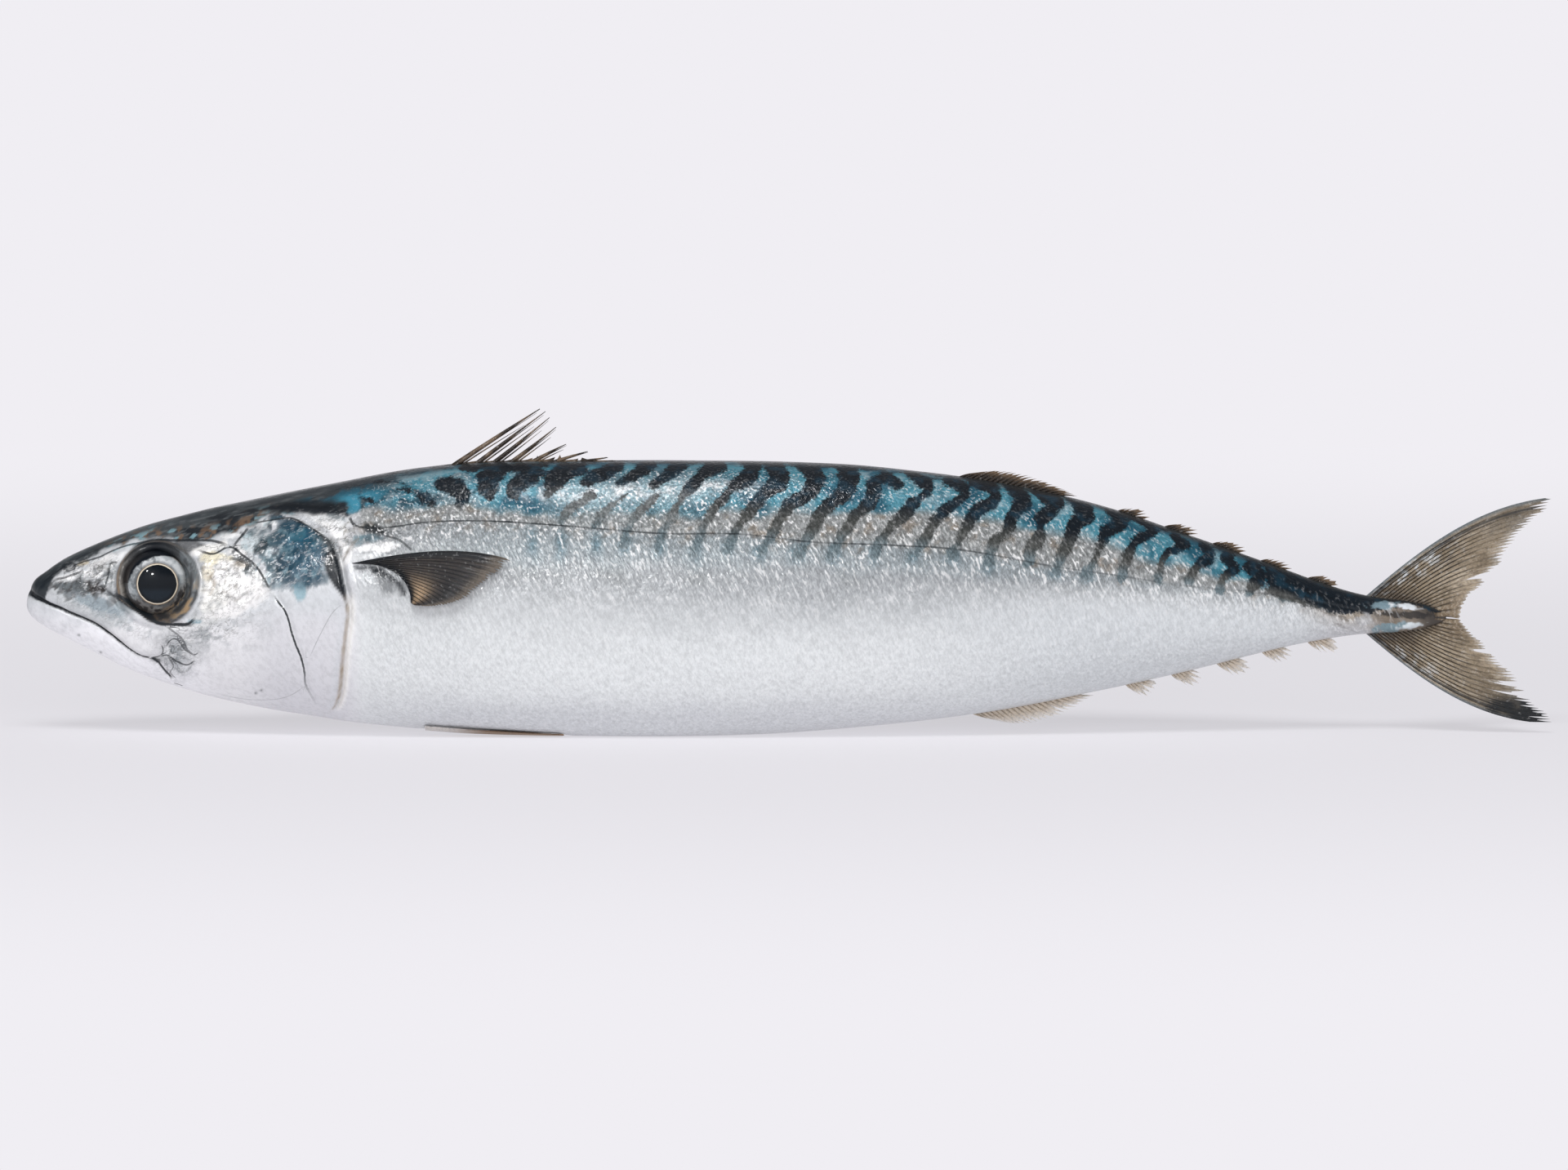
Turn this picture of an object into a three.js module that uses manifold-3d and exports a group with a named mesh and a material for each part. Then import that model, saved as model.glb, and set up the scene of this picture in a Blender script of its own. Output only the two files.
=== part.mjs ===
// A whole raw mackerel that stands on its belly, as a scene graph in millimetres.
// +Z is up, the head points to -X and the fish's left flank faces -Y. The origin is on the surface that it
// stands on, halfway between the jaw and the tips of the tail fin.
import * as THREE from "three";
import { mergeVertices } from "three/addons/utils/BufferGeometryUtils.js";
import Module from "manifold-3d";

const wasm = await Module();
wasm.setup();

const { clamp, degToRad, lerp, smoothstep } = THREE.MathUtils;

// ---- Driving dimensions, in millimetres and degrees. Places along the fish, whose names end in _AT, are
// shares of BODY_LENGTH measured from the jaw, so that every piece moves with the body it grows on. ----

const BODY_LENGTH = 326; // jaw to the end of the flesh inside the tail fin
const BODY_DEPTH = 65; // back to belly, before the belly is pressed flat
const BODY_WIDTH = 46;
const BELLY_SAG = 2; // how much of the depth the soft belly loses where it rests
const BACK_FULLNESS = 2.1; // superellipse exponents of the section, 2 being an ellipse
const BELLY_FULLNESS = 2.3;
const THROAT_FULLNESS = 1.8;

const GAP = 0.3; // clearance between neighbouring solids
const SUNK = 3; // how deep a fin's outline reaches into the flesh before the flesh is cut from it

const EYE_AT = 0.0914;
const EYE_HEIGHT = 5.0; // above the middle of the head
const EYE_DIAMETER = 15;
const EYE_THICKNESS = 9.5; // across the head
const EYE_BULGE = 1.2; // how far the cornea stands proud of the head

const FIRST_DORSAL_AT = 0.3;
const SPINE_ROOT = 1; // thickness of a spine at its root and its tip
const SPINE_TIP = 0.4;
// The spines of the first dorsal fin: distance behind the first one, length, and slope of its lean.
const SPINES = [
  [0, 24.4, 33],
  [5, 20.4, 37.5],
  [9, 17, 38],
  [13, 13.6, 36.5],
  [17.8, 9.3, 29.5],
  [22.8, 8.6, 19.5],
  [28.4, 7.2, 10.5],
];
const MEMBRANE_HEIGHT = 0.9; // of what is left of the torn membrane along the foot of the spines
const MEMBRANE_THICKNESS = 0.8;

// Low fins of the middle plane: where they start and end, their height, and how far back their highest
// point lies, as an exponent that is 1 for the middle.
const SECOND_DORSAL = { startAt: 0.65, endAt: 0.745, height: 3.1, lean: 0.8 };
const ANAL = { startAt: 0.669, endAt: 0.757, height: 3.2, lean: 1.23 };
const MEDIAN_FIN_THICKNESS = 1.2;

const FINLETS = 5; // behind the second dorsal fin, and again behind the anal fin
const DORSAL_FINLETS = { startAt: 0.765, endAt: 0.921 };
const ANAL_FINLETS = { startAt: 0.771, endAt: 0.921 };
const FINLET_SPACE = 3.3; // between one finlet and the next
const FINLET_HEIGHT = 1.9;

const TAIL_ROOT = 18; // how far in front of the end of the flesh the tail fin starts
const TAIL_ROOT_DEPTH = 9;
const TAIL_REACH = 24; // how far the tips of the lobes pass the end of the flesh
const TAIL_FORK = 2.5; // how far the bottom of the fork passes it
const TAIL_SPAN = 50; // from tip to tip
const TAIL_RISE = 1.3; // of the fork above the end of the flesh
const TAIL_BOW_AT = 0.72; // where the leading edges bow out most, from the root at 0 to the tips at 1
const UPPER_LOBE_BOW = 1.05; // how far they bow, as a share of half the span
const LOWER_LOBE_BOW = 1.1;
const TAIL_THICKNESS = 1.6;

const PECTORAL_AT = 0.2345;
const PECTORAL_HEIGHT = 9.3; // of the root, above the middle of the body
const PECTORAL_LENGTH = 35;
const PECTORAL_DROP = 10; // how far the fan opens below its root
const PECTORAL_BOW = 1.7; // how far its upper edge bows up
const PECTORAL_ROOT = 2.6; // width of the root
const PECTORAL_LIFT = 2.2; // how far the free end stands off the flank
const PECTORAL_THICKNESS = 0.8;

const PELVIC_AT = 0.279;
const PELVIC_LENGTH = 33;
const PELVIC_ANGLE = 166; // round the section from the back
const PELVIC_SPREAD = 4; // either side of that angle at the root, and twice as much at the tip
const PELVIC_THICKNESS = 0.6;
const PELVIC_LEAST = 0.4; // its thickness where the belly presses it on the surface

const BODY_RINGS = 46;
const BODY_SIDES = 28;

const MATERIALS = {
  skin: { color: 0x9fb0b8, roughness: 0.3, metalness: 0.2 },
  fin: { color: 0x5f564c, roughness: 0.45, metalness: 0 },
  pale_fin: { color: 0xb9b2a4, roughness: 0.45, metalness: 0 },
  eye: { color: 0x151b20, roughness: 0.1, metalness: 0 },
};
for (const slot of Object.keys(MATERIALS)) {
  MATERIALS[slot] = new THREE.MeshStandardMaterial(MATERIALS[slot]);
}

// ---- The body's surface ----

// From the jaw to the end of the flesh: share of BODY_LENGTH, then the height of the section's middle and
// half its height as shares of BODY_DEPTH, and half its width as a share of BODY_WIDTH.
const STATIONS = [
  [0, 0.495, 0, 0],
  [0.0178, 0.509, 0.113, 0.108],
  [0.0604, 0.507, 0.22, 0.214],
  [0.1043, 0.498, 0.298, 0.29],
  [0.2101, 0.5, 0.414, 0.424],
  [0.303, 0.511, 0.476, 0.483],
  [0.4093, 0.5, 0.498, 0.5],
  [0.475, 0.502, 0.497, 0.498],
  [0.5337, 0.513, 0.483, 0.485],
  [0.6084, 0.518, 0.452, 0.452],
  [0.6883, 0.517, 0.4, 0.387],
  [0.7631, 0.511, 0.319, 0.304],
  [0.8379, 0.49, 0.211, 0.209],
  [0.8955, 0.471, 0.123, 0.137],
  [0.944, 0.454, 0.066, 0.089],
  [0.97, 0.451, 0.051, 0.07],
  [0.99, 0.446, 0.03, 0.045],
  [1, 0.444, 0, 0],
];

// A smooth curve through one column of the stations. Half sizes are squared first, so that both ends are
// round.
function along(share, column, squared) {
  const power = squared ? 2 : 1;
  const last = STATIONS.length - 1;
  const at = (i) => STATIONS[i][0];
  const value = (i) => STATIONS[i][column] ** power;
  const slope = (i) => {
    const before = Math.max(0, i - 1);
    const after = Math.min(last, i + 1);
    return (value(after) - value(before)) / (at(after) - at(before));
  };
  let i = 0;
  while (i < last - 1 && share > at(i + 1)) i += 1;
  const step = at(i + 1) - at(i);
  const t = clamp((share - at(i)) / step, 0, 1);
  const result =
    (2 * t ** 3 - 3 * t ** 2 + 1) * value(i) +
    (t ** 3 - 2 * t ** 2 + t) * step * slope(i) +
    (3 * t ** 2 - 2 * t ** 3) * value(i + 1) +
    (t ** 3 - t ** 2) * step * slope(i + 1);
  return Math.max(0, result) ** (1 / power);
}

// The section at x: its middle, half height, half width, and the fullness of its lower half.
function section(x) {
  const share = clamp(x / BODY_LENGTH, 0, 1);
  return {
    middle: along(share, 1, false) * BODY_DEPTH - BELLY_SAG,
    halfHeight: along(share, 2, true) * BODY_DEPTH,
    halfWidth: along(share, 3, true) * BODY_WIDTH,
    belly: lerp(THROAT_FULLNESS, BELLY_FULLNESS, smoothstep(share, 0.1, 0.32)),
  };
}

const rounded = (value, fullness) => Math.sign(value) * Math.abs(value) ** (2 / fullness);

// A point of the skin, pushed out by offset. The angle runs from 0 at the back round the left flank to the
// belly.
function skinPoint(x, angle, offset = 0) {
  const s = section(x);
  const up = Math.cos(angle);
  const fullness = up > 0 ? BACK_FULLNESS : s.belly;
  return new THREE.Vector3(
    x,
    -(s.halfWidth + offset) * rounded(Math.sin(angle), fullness),
    s.middle + (s.halfHeight + offset) * rounded(up, fullness),
  );
}

// The angle of the left flank's skin at a height.
function angleAt(x, z) {
  const s = section(x);
  const share = clamp((z - s.middle) / s.halfHeight, -1, 1);
  const fullness = share > 0 ? BACK_FULLNESS : s.belly;
  return Math.acos(Math.sign(share) * Math.abs(share) ** (fullness / 2));
}

const backAt = (x) => skinPoint(x, 0).z;
const bellyAt = (x) => skinPoint(x, Math.PI).z;

// ---- Solids ----

// Moves each vertex of a geometry to where place(vertex number) says.
function reshaped(geometry, place) {
  const position = geometry.attributes.position;
  for (let i = 0; i < position.count; i += 1) {
    const p = place(i);
    position.setXYZ(i, p.x, p.y, p.z);
  }
  return geometry;
}

// A three.js geometry as a manifold solid whose faces point out.
function solid(geometry) {
  const bare = geometry.index ? geometry.toNonIndexed() : geometry.clone();
  bare.deleteAttribute("normal");
  bare.deleteAttribute("uv");
  const merged = mergeVertices(bare, 1e-4);
  const vertProperties = merged.attributes.position.array;
  const build = (triVerts) => new wasm.Manifold(new wasm.Mesh({ numProp: 3, vertProperties, triVerts }));
  const triangles = new Uint32Array(merged.index.array);
  const made = build(triangles);
  return made.volume() < 0 ? build(triangles.reverse()) : made;
}

// A named mesh of a manifold solid's largest body.
function mesh(name, made, material) {
  const [largest] = made.decompose().sort((a, b) => b.volume() - a.volume());
  const data = largest.getMesh();
  const geometry = new THREE.BufferGeometry();
  geometry.setAttribute("position", new THREE.BufferAttribute(data.vertProperties, 3));
  geometry.setIndex(new THREE.BufferAttribute(data.triVerts, 1));
  geometry.computeVertexNormals();
  const result = new THREE.Mesh(geometry, material);
  result.name = name;
  return result;
}

// The whole fish's flesh as one rounded loft, pushed out by offset, before anything is cut from it.
function fleshLoft(offset = 0) {
  const geometry = new THREE.SphereGeometry(1, BODY_SIDES, BODY_RINGS);
  const uv = geometry.attributes.uv;
  const crowding = 0.8 / (2 * Math.PI); // draws the rings together towards both ends
  return solid(
    reshaped(geometry, (i) => {
      const ring = clamp(1 - uv.getY(i), 0, 1);
      const share = ring - crowding * Math.sin(2 * Math.PI * ring);
      const end = Math.round(2 * ring - 1) * (ring === 0 || ring === 1);
      const p = skinPoint(share * BODY_LENGTH, 2 * Math.PI * uv.getX(i), end ? 0 : offset);
      p.x += end * offset;
      return p;
    }),
  );
}

// A thin plate that follows the skin. edge(u, v, grow) gives its [x, angle, lift], u across it and v from
// root to tip, and grow makes it that much larger all round. Above the surface it is at least least thick.
function skinPlate(edge, thickness, least, grow = 0) {
  const geometry = new THREE.BoxGeometry(1, 1, 1, 5, 8, 1);
  const position = geometry.attributes.position;
  return solid(
    reshaped(geometry, (i) => {
      const outer = position.getZ(i) > 0;
      const [x, angle, lift] = edge(position.getX(i) + 0.5, position.getY(i) + 0.5, grow);
      const p = skinPoint(x, angle, outer ? lift + thickness + grow : lift - grow);
      p.z = Math.max(p.z, outer ? -grow : least + grow);
      return p;
    }),
  );
}

// The outline of a strip along the back or the belly, from depth inside the edge to rise(share) outside it.
function strip(start, end, edgeAt, depth, rise) {
  const steps = 14;
  const xs = Array.from({ length: steps + 1 }, (_, i) => lerp(start, end, i / steps));
  const root = xs.map((x) => new THREE.Vector2(x, edgeAt(x) + depth));
  const rim = xs.map((x, i) => new THREE.Vector2(x, edgeAt(x) + rise(i / steps)));
  return new THREE.Shape([...root, ...rim.reverse()]);
}

// A flat fin in the fish's middle plane, from its outline, cut where the flesh is.
function medianFin(shape, thickness, flesh) {
  const settings = { depth: thickness, bevelEnabled: false, curveSegments: 10 };
  const geometry = new THREE.ExtrudeGeometry(shape, settings);
  geometry.rotateX(Math.PI / 2);
  geometry.translate(0, thickness / 2, 0);
  return solid(geometry).subtract(flesh);
}

// ---- The pieces ----

// An eyeball is a flattened ball with its poles across the head. side is -1 for the left, 1 for the right.
function eyeball(side, grow = 0) {
  const x = EYE_AT * BODY_LENGTH;
  const z = section(x).middle + EYE_HEIGHT;
  const skin = -skinPoint(x, angleAt(x, z)).y;
  const geometry = new THREE.SphereGeometry(1, 18, 10);
  geometry.scale(EYE_DIAMETER / 2 + grow, EYE_THICKNESS / 2 + grow, EYE_DIAMETER / 2 + grow);
  geometry.translate(x, side * (skin + EYE_BULGE - EYE_THICKNESS / 2), z);
  return solid(geometry);
}

// Spines that lean back, joined along their feet by what is left of the membrane.
function firstDorsal(flesh) {
  const start = FIRST_DORSAL_AT * BODY_LENGTH;
  const foot = strip(start, start + SPINES.at(-1)[0], backAt, -SUNK, () => MEMBRANE_HEIGHT);
  return SPINES.reduce((made, [behind, length, slope]) => {
    const spine = new THREE.CylinderGeometry(SPINE_TIP / 2, SPINE_ROOT / 2, length + SUNK, 5);
    spine.translate(0, (length - SUNK) / 2, 0);
    spine.rotateX(Math.PI / 2);
    spine.rotateY(Math.PI / 2 - degToRad(slope));
    spine.translate(start + behind, 0, backAt(start + behind));
    return made.add(solid(spine).subtract(flesh));
  }, medianFin(foot, MEMBRANE_THICKNESS, flesh));
}

// A low fin along the back or the belly. up is 1 on the back and -1 on the belly.
function lowFin({ startAt, endAt, height, lean }, edgeAt, up, flesh) {
  const rise = (share) => up * height * Math.sin(Math.PI * share ** lean);
  const outline = strip(startAt * BODY_LENGTH, endAt * BODY_LENGTH, edgeAt, -up * SUNK, rise);
  return medianFin(outline, MEDIAN_FIN_THICKNESS, flesh);
}

// One of a row of small swept-back fins whose rear ends are free.
function finlet({ startAt, endAt }, number, edgeAt, up, flesh) {
  const pitch = ((endAt - startAt) * BODY_LENGTH + FINLET_SPACE) / FINLETS;
  const start = startAt * BODY_LENGTH + number * pitch;
  // Each corner's share of the finlet's length and its height above the edge of the flesh.
  const outline = [
    [0, -SUNK],
    [0, 0],
    [0.45, FINLET_HEIGHT],
    [1, FINLET_HEIGHT * 0.7],
    [0.74, 0],
    [0.74, -SUNK],
  ];
  const corners = outline.map(([share, rise]) => {
    const x = start + share * (pitch - FINLET_SPACE);
    return new THREE.Vector2(x, edgeAt(x) + up * rise);
  });
  return medianFin(new THREE.Shape(corners), MEDIAN_FIN_THICKNESS, flesh);
}

// The forked tail fin, with a notch round the end of the flesh. The lobes bow out towards their tips.
function tailFin(flesh) {
  const fork = section(BODY_LENGTH).middle + TAIL_RISE;
  const root = BODY_LENGTH - TAIL_ROOT;
  const tip = BODY_LENGTH + TAIL_REACH;
  const bow = lerp(root, tip, TAIL_BOW_AT);
  const half = TAIL_SPAN / 2;
  const shape = new THREE.Shape();
  shape.moveTo(root, fork - TAIL_ROOT_DEPTH / 2);
  shape.quadraticCurveTo(bow, fork - half * LOWER_LOBE_BOW, tip, fork - half);
  shape.lineTo(BODY_LENGTH + TAIL_FORK, fork);
  shape.lineTo(tip, fork + half);
  shape.quadraticCurveTo(bow, fork + half * UPPER_LOBE_BOW, root, fork + TAIL_ROOT_DEPTH / 2);
  return medianFin(shape, TAIL_THICKNESS, flesh);
}

// A fan that opens backwards over the left flank from its root behind the gill. Its rays run from the short
// root to a curved edge, which turns from the tip round to the lower corner.
function pectoralFin() {
  const tips = new THREE.QuadraticBezierCurve(
    new THREE.Vector2(PECTORAL_LENGTH, PECTORAL_DROP * 0.13),
    new THREE.Vector2(PECTORAL_LENGTH * 0.73, -PECTORAL_DROP * 1.2),
    new THREE.Vector2(PECTORAL_LENGTH * 0.31, -PECTORAL_DROP * 0.79),
  );
  const root = PECTORAL_AT * BODY_LENGTH;
  const height = section(root).middle + PECTORAL_HEIGHT;
  const edge = (u, v) => {
    const ray = new THREE.Vector2(0, -PECTORAL_ROOT * u).lerp(tips.getPoint(u), v);
    ray.y += PECTORAL_BOW * (1 - u) * Math.sin(Math.PI * v);
    const x = root + ray.x;
    return [x, angleAt(x, height + ray.y), 2 * GAP + PECTORAL_LIFT * v * v];
  };
  return skinPlate(edge, PECTORAL_THICKNESS, 0);
}

// A fin folded flat under the left of the belly.
function pelvicFin(grow = 0) {
  const edge = (u, v) => {
    const x = PELVIC_AT * BODY_LENGTH + lerp(-grow, PELVIC_LENGTH * (1 - 0.2 * u) + grow, v);
    const half = PELVIC_SPREAD * (1 + v) + (180 / Math.PI) * (grow / section(x).halfWidth);
    return [x, degToRad(PELVIC_ANGLE + half * (2 * u - 1)), 0];
  };
  return skinPlate(edge, PELVIC_THICKNESS, PELVIC_LEAST, grow);
}

const mirrored = (made) => made.mirror([0, 1, 0]);

// Everything below the surface that the fish stands on.
function underground() {
  const geometry = new THREE.BoxGeometry(2 * BODY_LENGTH, 2 * BODY_WIDTH, BODY_DEPTH);
  geometry.translate(BODY_LENGTH / 2, 0, -BODY_DEPTH / 2);
  return solid(geometry);
}

function fish() {
  const flesh = fleshLoft(GAP);
  const bed = pelvicFin(GAP);
  const body = [eyeball(-1, GAP), eyeball(1, GAP), bed, mirrored(bed), underground()].reduce(
    (made, cut) => made.subtract(cut),
    fleshLoft(),
  );
  const { skin, fin, pale_fin: paleFin, eye } = MATERIALS;
  const group = new THREE.Group();
  group.add(mesh("body", body, skin));
  group.add(mesh("left_eye", eyeball(-1), eye), mesh("right_eye", eyeball(1), eye));
  group.add(mesh("left_pectoral_fin", pectoralFin(), fin));
  group.add(mesh("right_pectoral_fin", mirrored(pectoralFin()), fin));
  group.add(mesh("left_pelvic_fin", pelvicFin(), paleFin));
  group.add(mesh("right_pelvic_fin", mirrored(pelvicFin()), paleFin));
  group.add(mesh("first_dorsal_fin", firstDorsal(flesh), fin));
  group.add(mesh("second_dorsal_fin", lowFin(SECOND_DORSAL, backAt, 1, flesh), fin));
  group.add(mesh("anal_fin", lowFin(ANAL, bellyAt, -1, flesh), paleFin));
  for (let i = 0; i < FINLETS; i += 1) {
    const dorsal = finlet(DORSAL_FINLETS, i, backAt, 1, flesh);
    const anal = finlet(ANAL_FINLETS, i, bellyAt, -1, flesh);
    group.add(mesh(`dorsal_finlet_${i + 1}`, dorsal, fin));
    group.add(mesh(`anal_finlet_${i + 1}`, anal, paleFin));
  }
  group.add(mesh("tail_fin", tailFin(flesh), fin));
  group.position.x = -(BODY_LENGTH + TAIL_REACH) / 2;
  return group;
}

export default fish();
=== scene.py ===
"""A whole raw mackerel on a pale studio floor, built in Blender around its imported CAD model.

Points of the fish are written in millimetres: x from the tip of the jaw, z above the surface that the fish
stands on, s along the skin from the middle of the back. Blender's own values are in metres.
"""

import math
import bmesh
import bpy
import numpy as np
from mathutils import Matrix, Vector


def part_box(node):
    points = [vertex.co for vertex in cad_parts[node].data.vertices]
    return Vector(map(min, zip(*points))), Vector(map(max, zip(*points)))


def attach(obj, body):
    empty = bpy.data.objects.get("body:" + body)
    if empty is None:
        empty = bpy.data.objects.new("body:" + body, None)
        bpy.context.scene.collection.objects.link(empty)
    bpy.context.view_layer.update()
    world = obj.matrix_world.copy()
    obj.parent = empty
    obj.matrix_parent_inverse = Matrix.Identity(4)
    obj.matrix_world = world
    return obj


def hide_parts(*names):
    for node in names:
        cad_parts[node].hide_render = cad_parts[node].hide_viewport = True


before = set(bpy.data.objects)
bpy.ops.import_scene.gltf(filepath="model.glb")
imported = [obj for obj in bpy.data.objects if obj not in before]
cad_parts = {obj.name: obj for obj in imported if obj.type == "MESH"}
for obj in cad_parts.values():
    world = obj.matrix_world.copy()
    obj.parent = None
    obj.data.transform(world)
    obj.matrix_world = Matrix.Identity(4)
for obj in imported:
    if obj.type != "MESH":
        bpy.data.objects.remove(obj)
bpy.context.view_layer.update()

MM = 0.001
BODY_LOW, BODY_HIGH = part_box("body")
JAW = BODY_LOW.x / MM  # row x of the tip of the jaw
LENGTH = (BODY_HIGH.x - BODY_LOW.x) / MM
WIDTH = (BODY_HIGH.y - BODY_LOW.y) / MM
SAG = 2.0  # how much of its depth the belly loses where it rests
DEPTH = BODY_HIGH.z / MM + SAG
BACK_FULLNESS = 2.1
BELLY_FULLNESS = 2.3
THROAT_FULLNESS = 1.8

# Along the body: share of LENGTH, height of the section's middle and half its height as shares of DEPTH, and
# half its width as a share of WIDTH.
STATIONS = np.array(
    [
        [0, 0.495, 0, 0],
        [0.0178, 0.509, 0.113, 0.108],
        [0.0604, 0.507, 0.22, 0.214],
        [0.1043, 0.498, 0.298, 0.29],
        [0.2101, 0.5, 0.414, 0.424],
        [0.303, 0.511, 0.476, 0.483],
        [0.4093, 0.5, 0.498, 0.5],
        [0.475, 0.502, 0.497, 0.498],
        [0.5337, 0.513, 0.483, 0.485],
        [0.6084, 0.518, 0.452, 0.452],
        [0.6883, 0.517, 0.4, 0.387],
        [0.7631, 0.511, 0.319, 0.304],
        [0.8379, 0.49, 0.211, 0.209],
        [0.8955, 0.471, 0.123, 0.137],
        [0.944, 0.454, 0.066, 0.089],
        [0.97, 0.451, 0.051, 0.07],
        [0.99, 0.446, 0.03, 0.045],
        [1, 0.444, 0, 0],
    ]
)

ELEVATION = math.radians(5)  # how far the camera looks down
LOOK_DOWN = math.sin(ELEVATION)  # how much what stands out towards the camera seems to lie lower
EYE_OUT = 12  # how far out of the fish's middle an eye's rim lies
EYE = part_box("left_eye")
EYE_X = (EYE[0].x + EYE[1].x) / 2 / MM - JAW
EYE_Z = (EYE[0].z + EYE[1].z) / 2 / MM - LOOK_DOWN * EYE_OUT


# ---- Small helpers ----


def ease(low, high, value):
    """0 at low and before, 1 at high and beyond, and smooth between them. low may be the greater."""
    t = np.clip((value - low) / (high - low), 0, 1)
    return t * t * (3 - 2 * t)


def window(value, start, full, fade, end):
    """0 before start, 1 from full to fade, and 0 again after end."""
    return ease(start, full, value) * ease(end, fade, value)


def faded(share, start, end):
    """1 along a curve, and down to 0 over the first and the last share of it."""
    return ease(0, start, share) * ease(0, end, 1 - share)


def bell(value, width):
    """1 at zero, falling off to nothing over about twice the width."""
    return np.exp(-((value / width) ** 2))


def mix(a, b, share):
    return a + (b - a) * share


def noise(x, y, seed=0):
    """Smooth noise between -1 and 1 that changes over about one unit."""
    table = np.random.default_rng(seed).uniform(-1, 1, (256, 256))
    i, j = np.floor(x).astype(int), np.floor(y).astype(int)
    u, v = ease(0, 1, x - i), ease(0, 1, y - j)
    i, j, i2, j2 = i % 256, j % 256, (i + 1) % 256, (j + 1) % 256
    return mix(mix(table[i, j], table[i2, j], u), mix(table[i, j2], table[i2, j2], u), v)


def clouds(x, y, size, seed=0, layers=4):
    """Noise of several sizes, each half the last, between about -1 and 1."""
    total = sum(noise(x / size * 2**k, y / size * 2**k, seed + k) / 2**k for k in range(layers))
    return total / 1.4


def rgb(red, green, blue):
    """A colour as the eye reads it, 0 to 255, in linear light."""
    share = np.array([red, green, blue]) / 255
    return np.where(share < 0.04045, share / 12.92, ((share + 0.055) / 1.055) ** 2.4)


def new_canvas(grid, colour):
    """A canvas of one colour for a grid of points."""
    canvas = np.empty(grid.shape + (3,))
    canvas[:] = rgb(*colour)
    return canvas


def paint(canvas, *layers):
    """Lays colours over the canvas in turn. A layer is (red, green, blue) and a mask, 1 where it covers."""
    for colour, mask in layers:
        canvas += (rgb(*colour) - canvas) * np.clip(mask, 0, 1)[..., None]


def rounded_route(points, steps=6):
    """A smooth curve through given points."""
    p = np.array(points, float)
    before = np.vstack([2 * p[0] - p[1], p[:-1]])
    after = np.vstack([p[1:], 2 * p[-1] - p[-2]])
    slope = (after - before) / 2
    t = np.linspace(0, 1, steps, endpoint=False)[:, None]
    pieces = [
        (2 * t**3 - 3 * t**2 + 1) * p[i]
        + (t**3 - 2 * t**2 + t) * slope[i]
        + (3 * t**2 - 2 * t**3) * p[i + 1]
        + (t**3 - t**2) * slope[i + 1]
        for i in range(len(p) - 1)
    ]
    return np.vstack([*pieces, p[-1:]])


def near(points, x, y, reach=12.0):
    """Distance to a curve, how far along it (0 to 1), and on which side: positive on the right as it runs
    on a chart with x to the right and y down. Further than reach away, the distance is only large."""
    route = rounded_route(points)
    distance = np.full(x.shape, 1e3)
    share = np.zeros(x.shape)
    side = np.zeros(x.shape)
    low, high = route.min(0) - reach, route.max(0) + reach
    close = (x > low[0]) & (x < high[0]) & (y > low[1]) & (y < high[1])
    px, py = x[close], y[close]
    best, best_share, best_side = distance[close], share[close], side[close]
    for i in range(len(route) - 1):
        a, d = route[i], route[i + 1] - route[i]
        t = np.clip(((px - a[0]) * d[0] + (py - a[1]) * d[1]) / (d @ d), 0, 1)
        dx, dy = px - a[0] - t * d[0], py - a[1] - t * d[1]
        gap = np.hypot(dx, dy)
        nearer = gap < best
        best = np.where(nearer, gap, best)
        best_share = np.where(nearer, (i + t) / (len(route) - 1), best_share)
        best_side = np.where(nearer, np.sign(dy * d[0] - dx * d[1]), best_side)
    distance[close], share[close], side[close] = best, best_share, best_side
    return distance, share, side


# ---- Section of the body ----


def spline(xs, ys):
    """The natural cubic spline through a few points, as a function. It has no kinks in its curvature."""
    h = np.diff(xs)
    matrix = np.eye(len(xs))
    right = np.zeros(len(xs))
    for i in range(1, len(xs) - 1):
        matrix[i, i - 1 : i + 2] = [h[i - 1], 2 * (h[i - 1] + h[i]), h[i]]
        right[i] = 6 * ((ys[i + 1] - ys[i]) / h[i] - (ys[i] - ys[i - 1]) / h[i - 1])
    bend = np.linalg.solve(matrix, right)

    def at(x):
        i = np.clip(np.searchsorted(xs, x) - 1, 0, len(h) - 1)
        a, b = (xs[i + 1] - x) / h[i], (x - xs[i]) / h[i]
        curve = ((a**3 - a) * bend[i] + (b**3 - b) * bend[i + 1]) * h[i] ** 2 / 6
        return a * ys[i] + b * ys[i + 1] + curve

    return at


MIDDLE = spline(STATIONS[:, 0], STATIONS[:, 1])
HALF_HEIGHT = spline(STATIONS[:, 0], STATIONS[:, 2] ** 2)
HALF_WIDTH = spline(STATIONS[:, 0], STATIONS[:, 3] ** 2)


def section(x):
    """Middle, half height, half width and fullness below the middle, in millimetres, at x from the jaw."""
    share = np.clip(x / LENGTH, 0, 1)
    middle = MIDDLE(share) * DEPTH - SAG
    half_height = np.sqrt(np.maximum(HALF_HEIGHT(share), 0)) * DEPTH
    half_width = np.sqrt(np.maximum(HALF_WIDTH(share), 0)) * WIDTH
    belly = mix(THROAT_FULLNESS, BELLY_FULLNESS, ease(0.1, 0.32, share))
    return middle, half_height, half_width, belly


def skin_point(x, angle, offset=0.0):
    """A point of the skin. The angle runs from 0 at the back round the left flank to pi at the belly."""
    middle, half_height, half_width, belly = section(x)
    up, across = np.cos(angle), np.sin(angle)
    power = 2 / np.where(up > 0, BACK_FULLNESS, belly)
    y = -(half_width + offset) * np.sign(across) * np.abs(across) ** power
    z = middle + (half_height + offset) * np.sign(up) * np.abs(up) ** power
    return y, z


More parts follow.
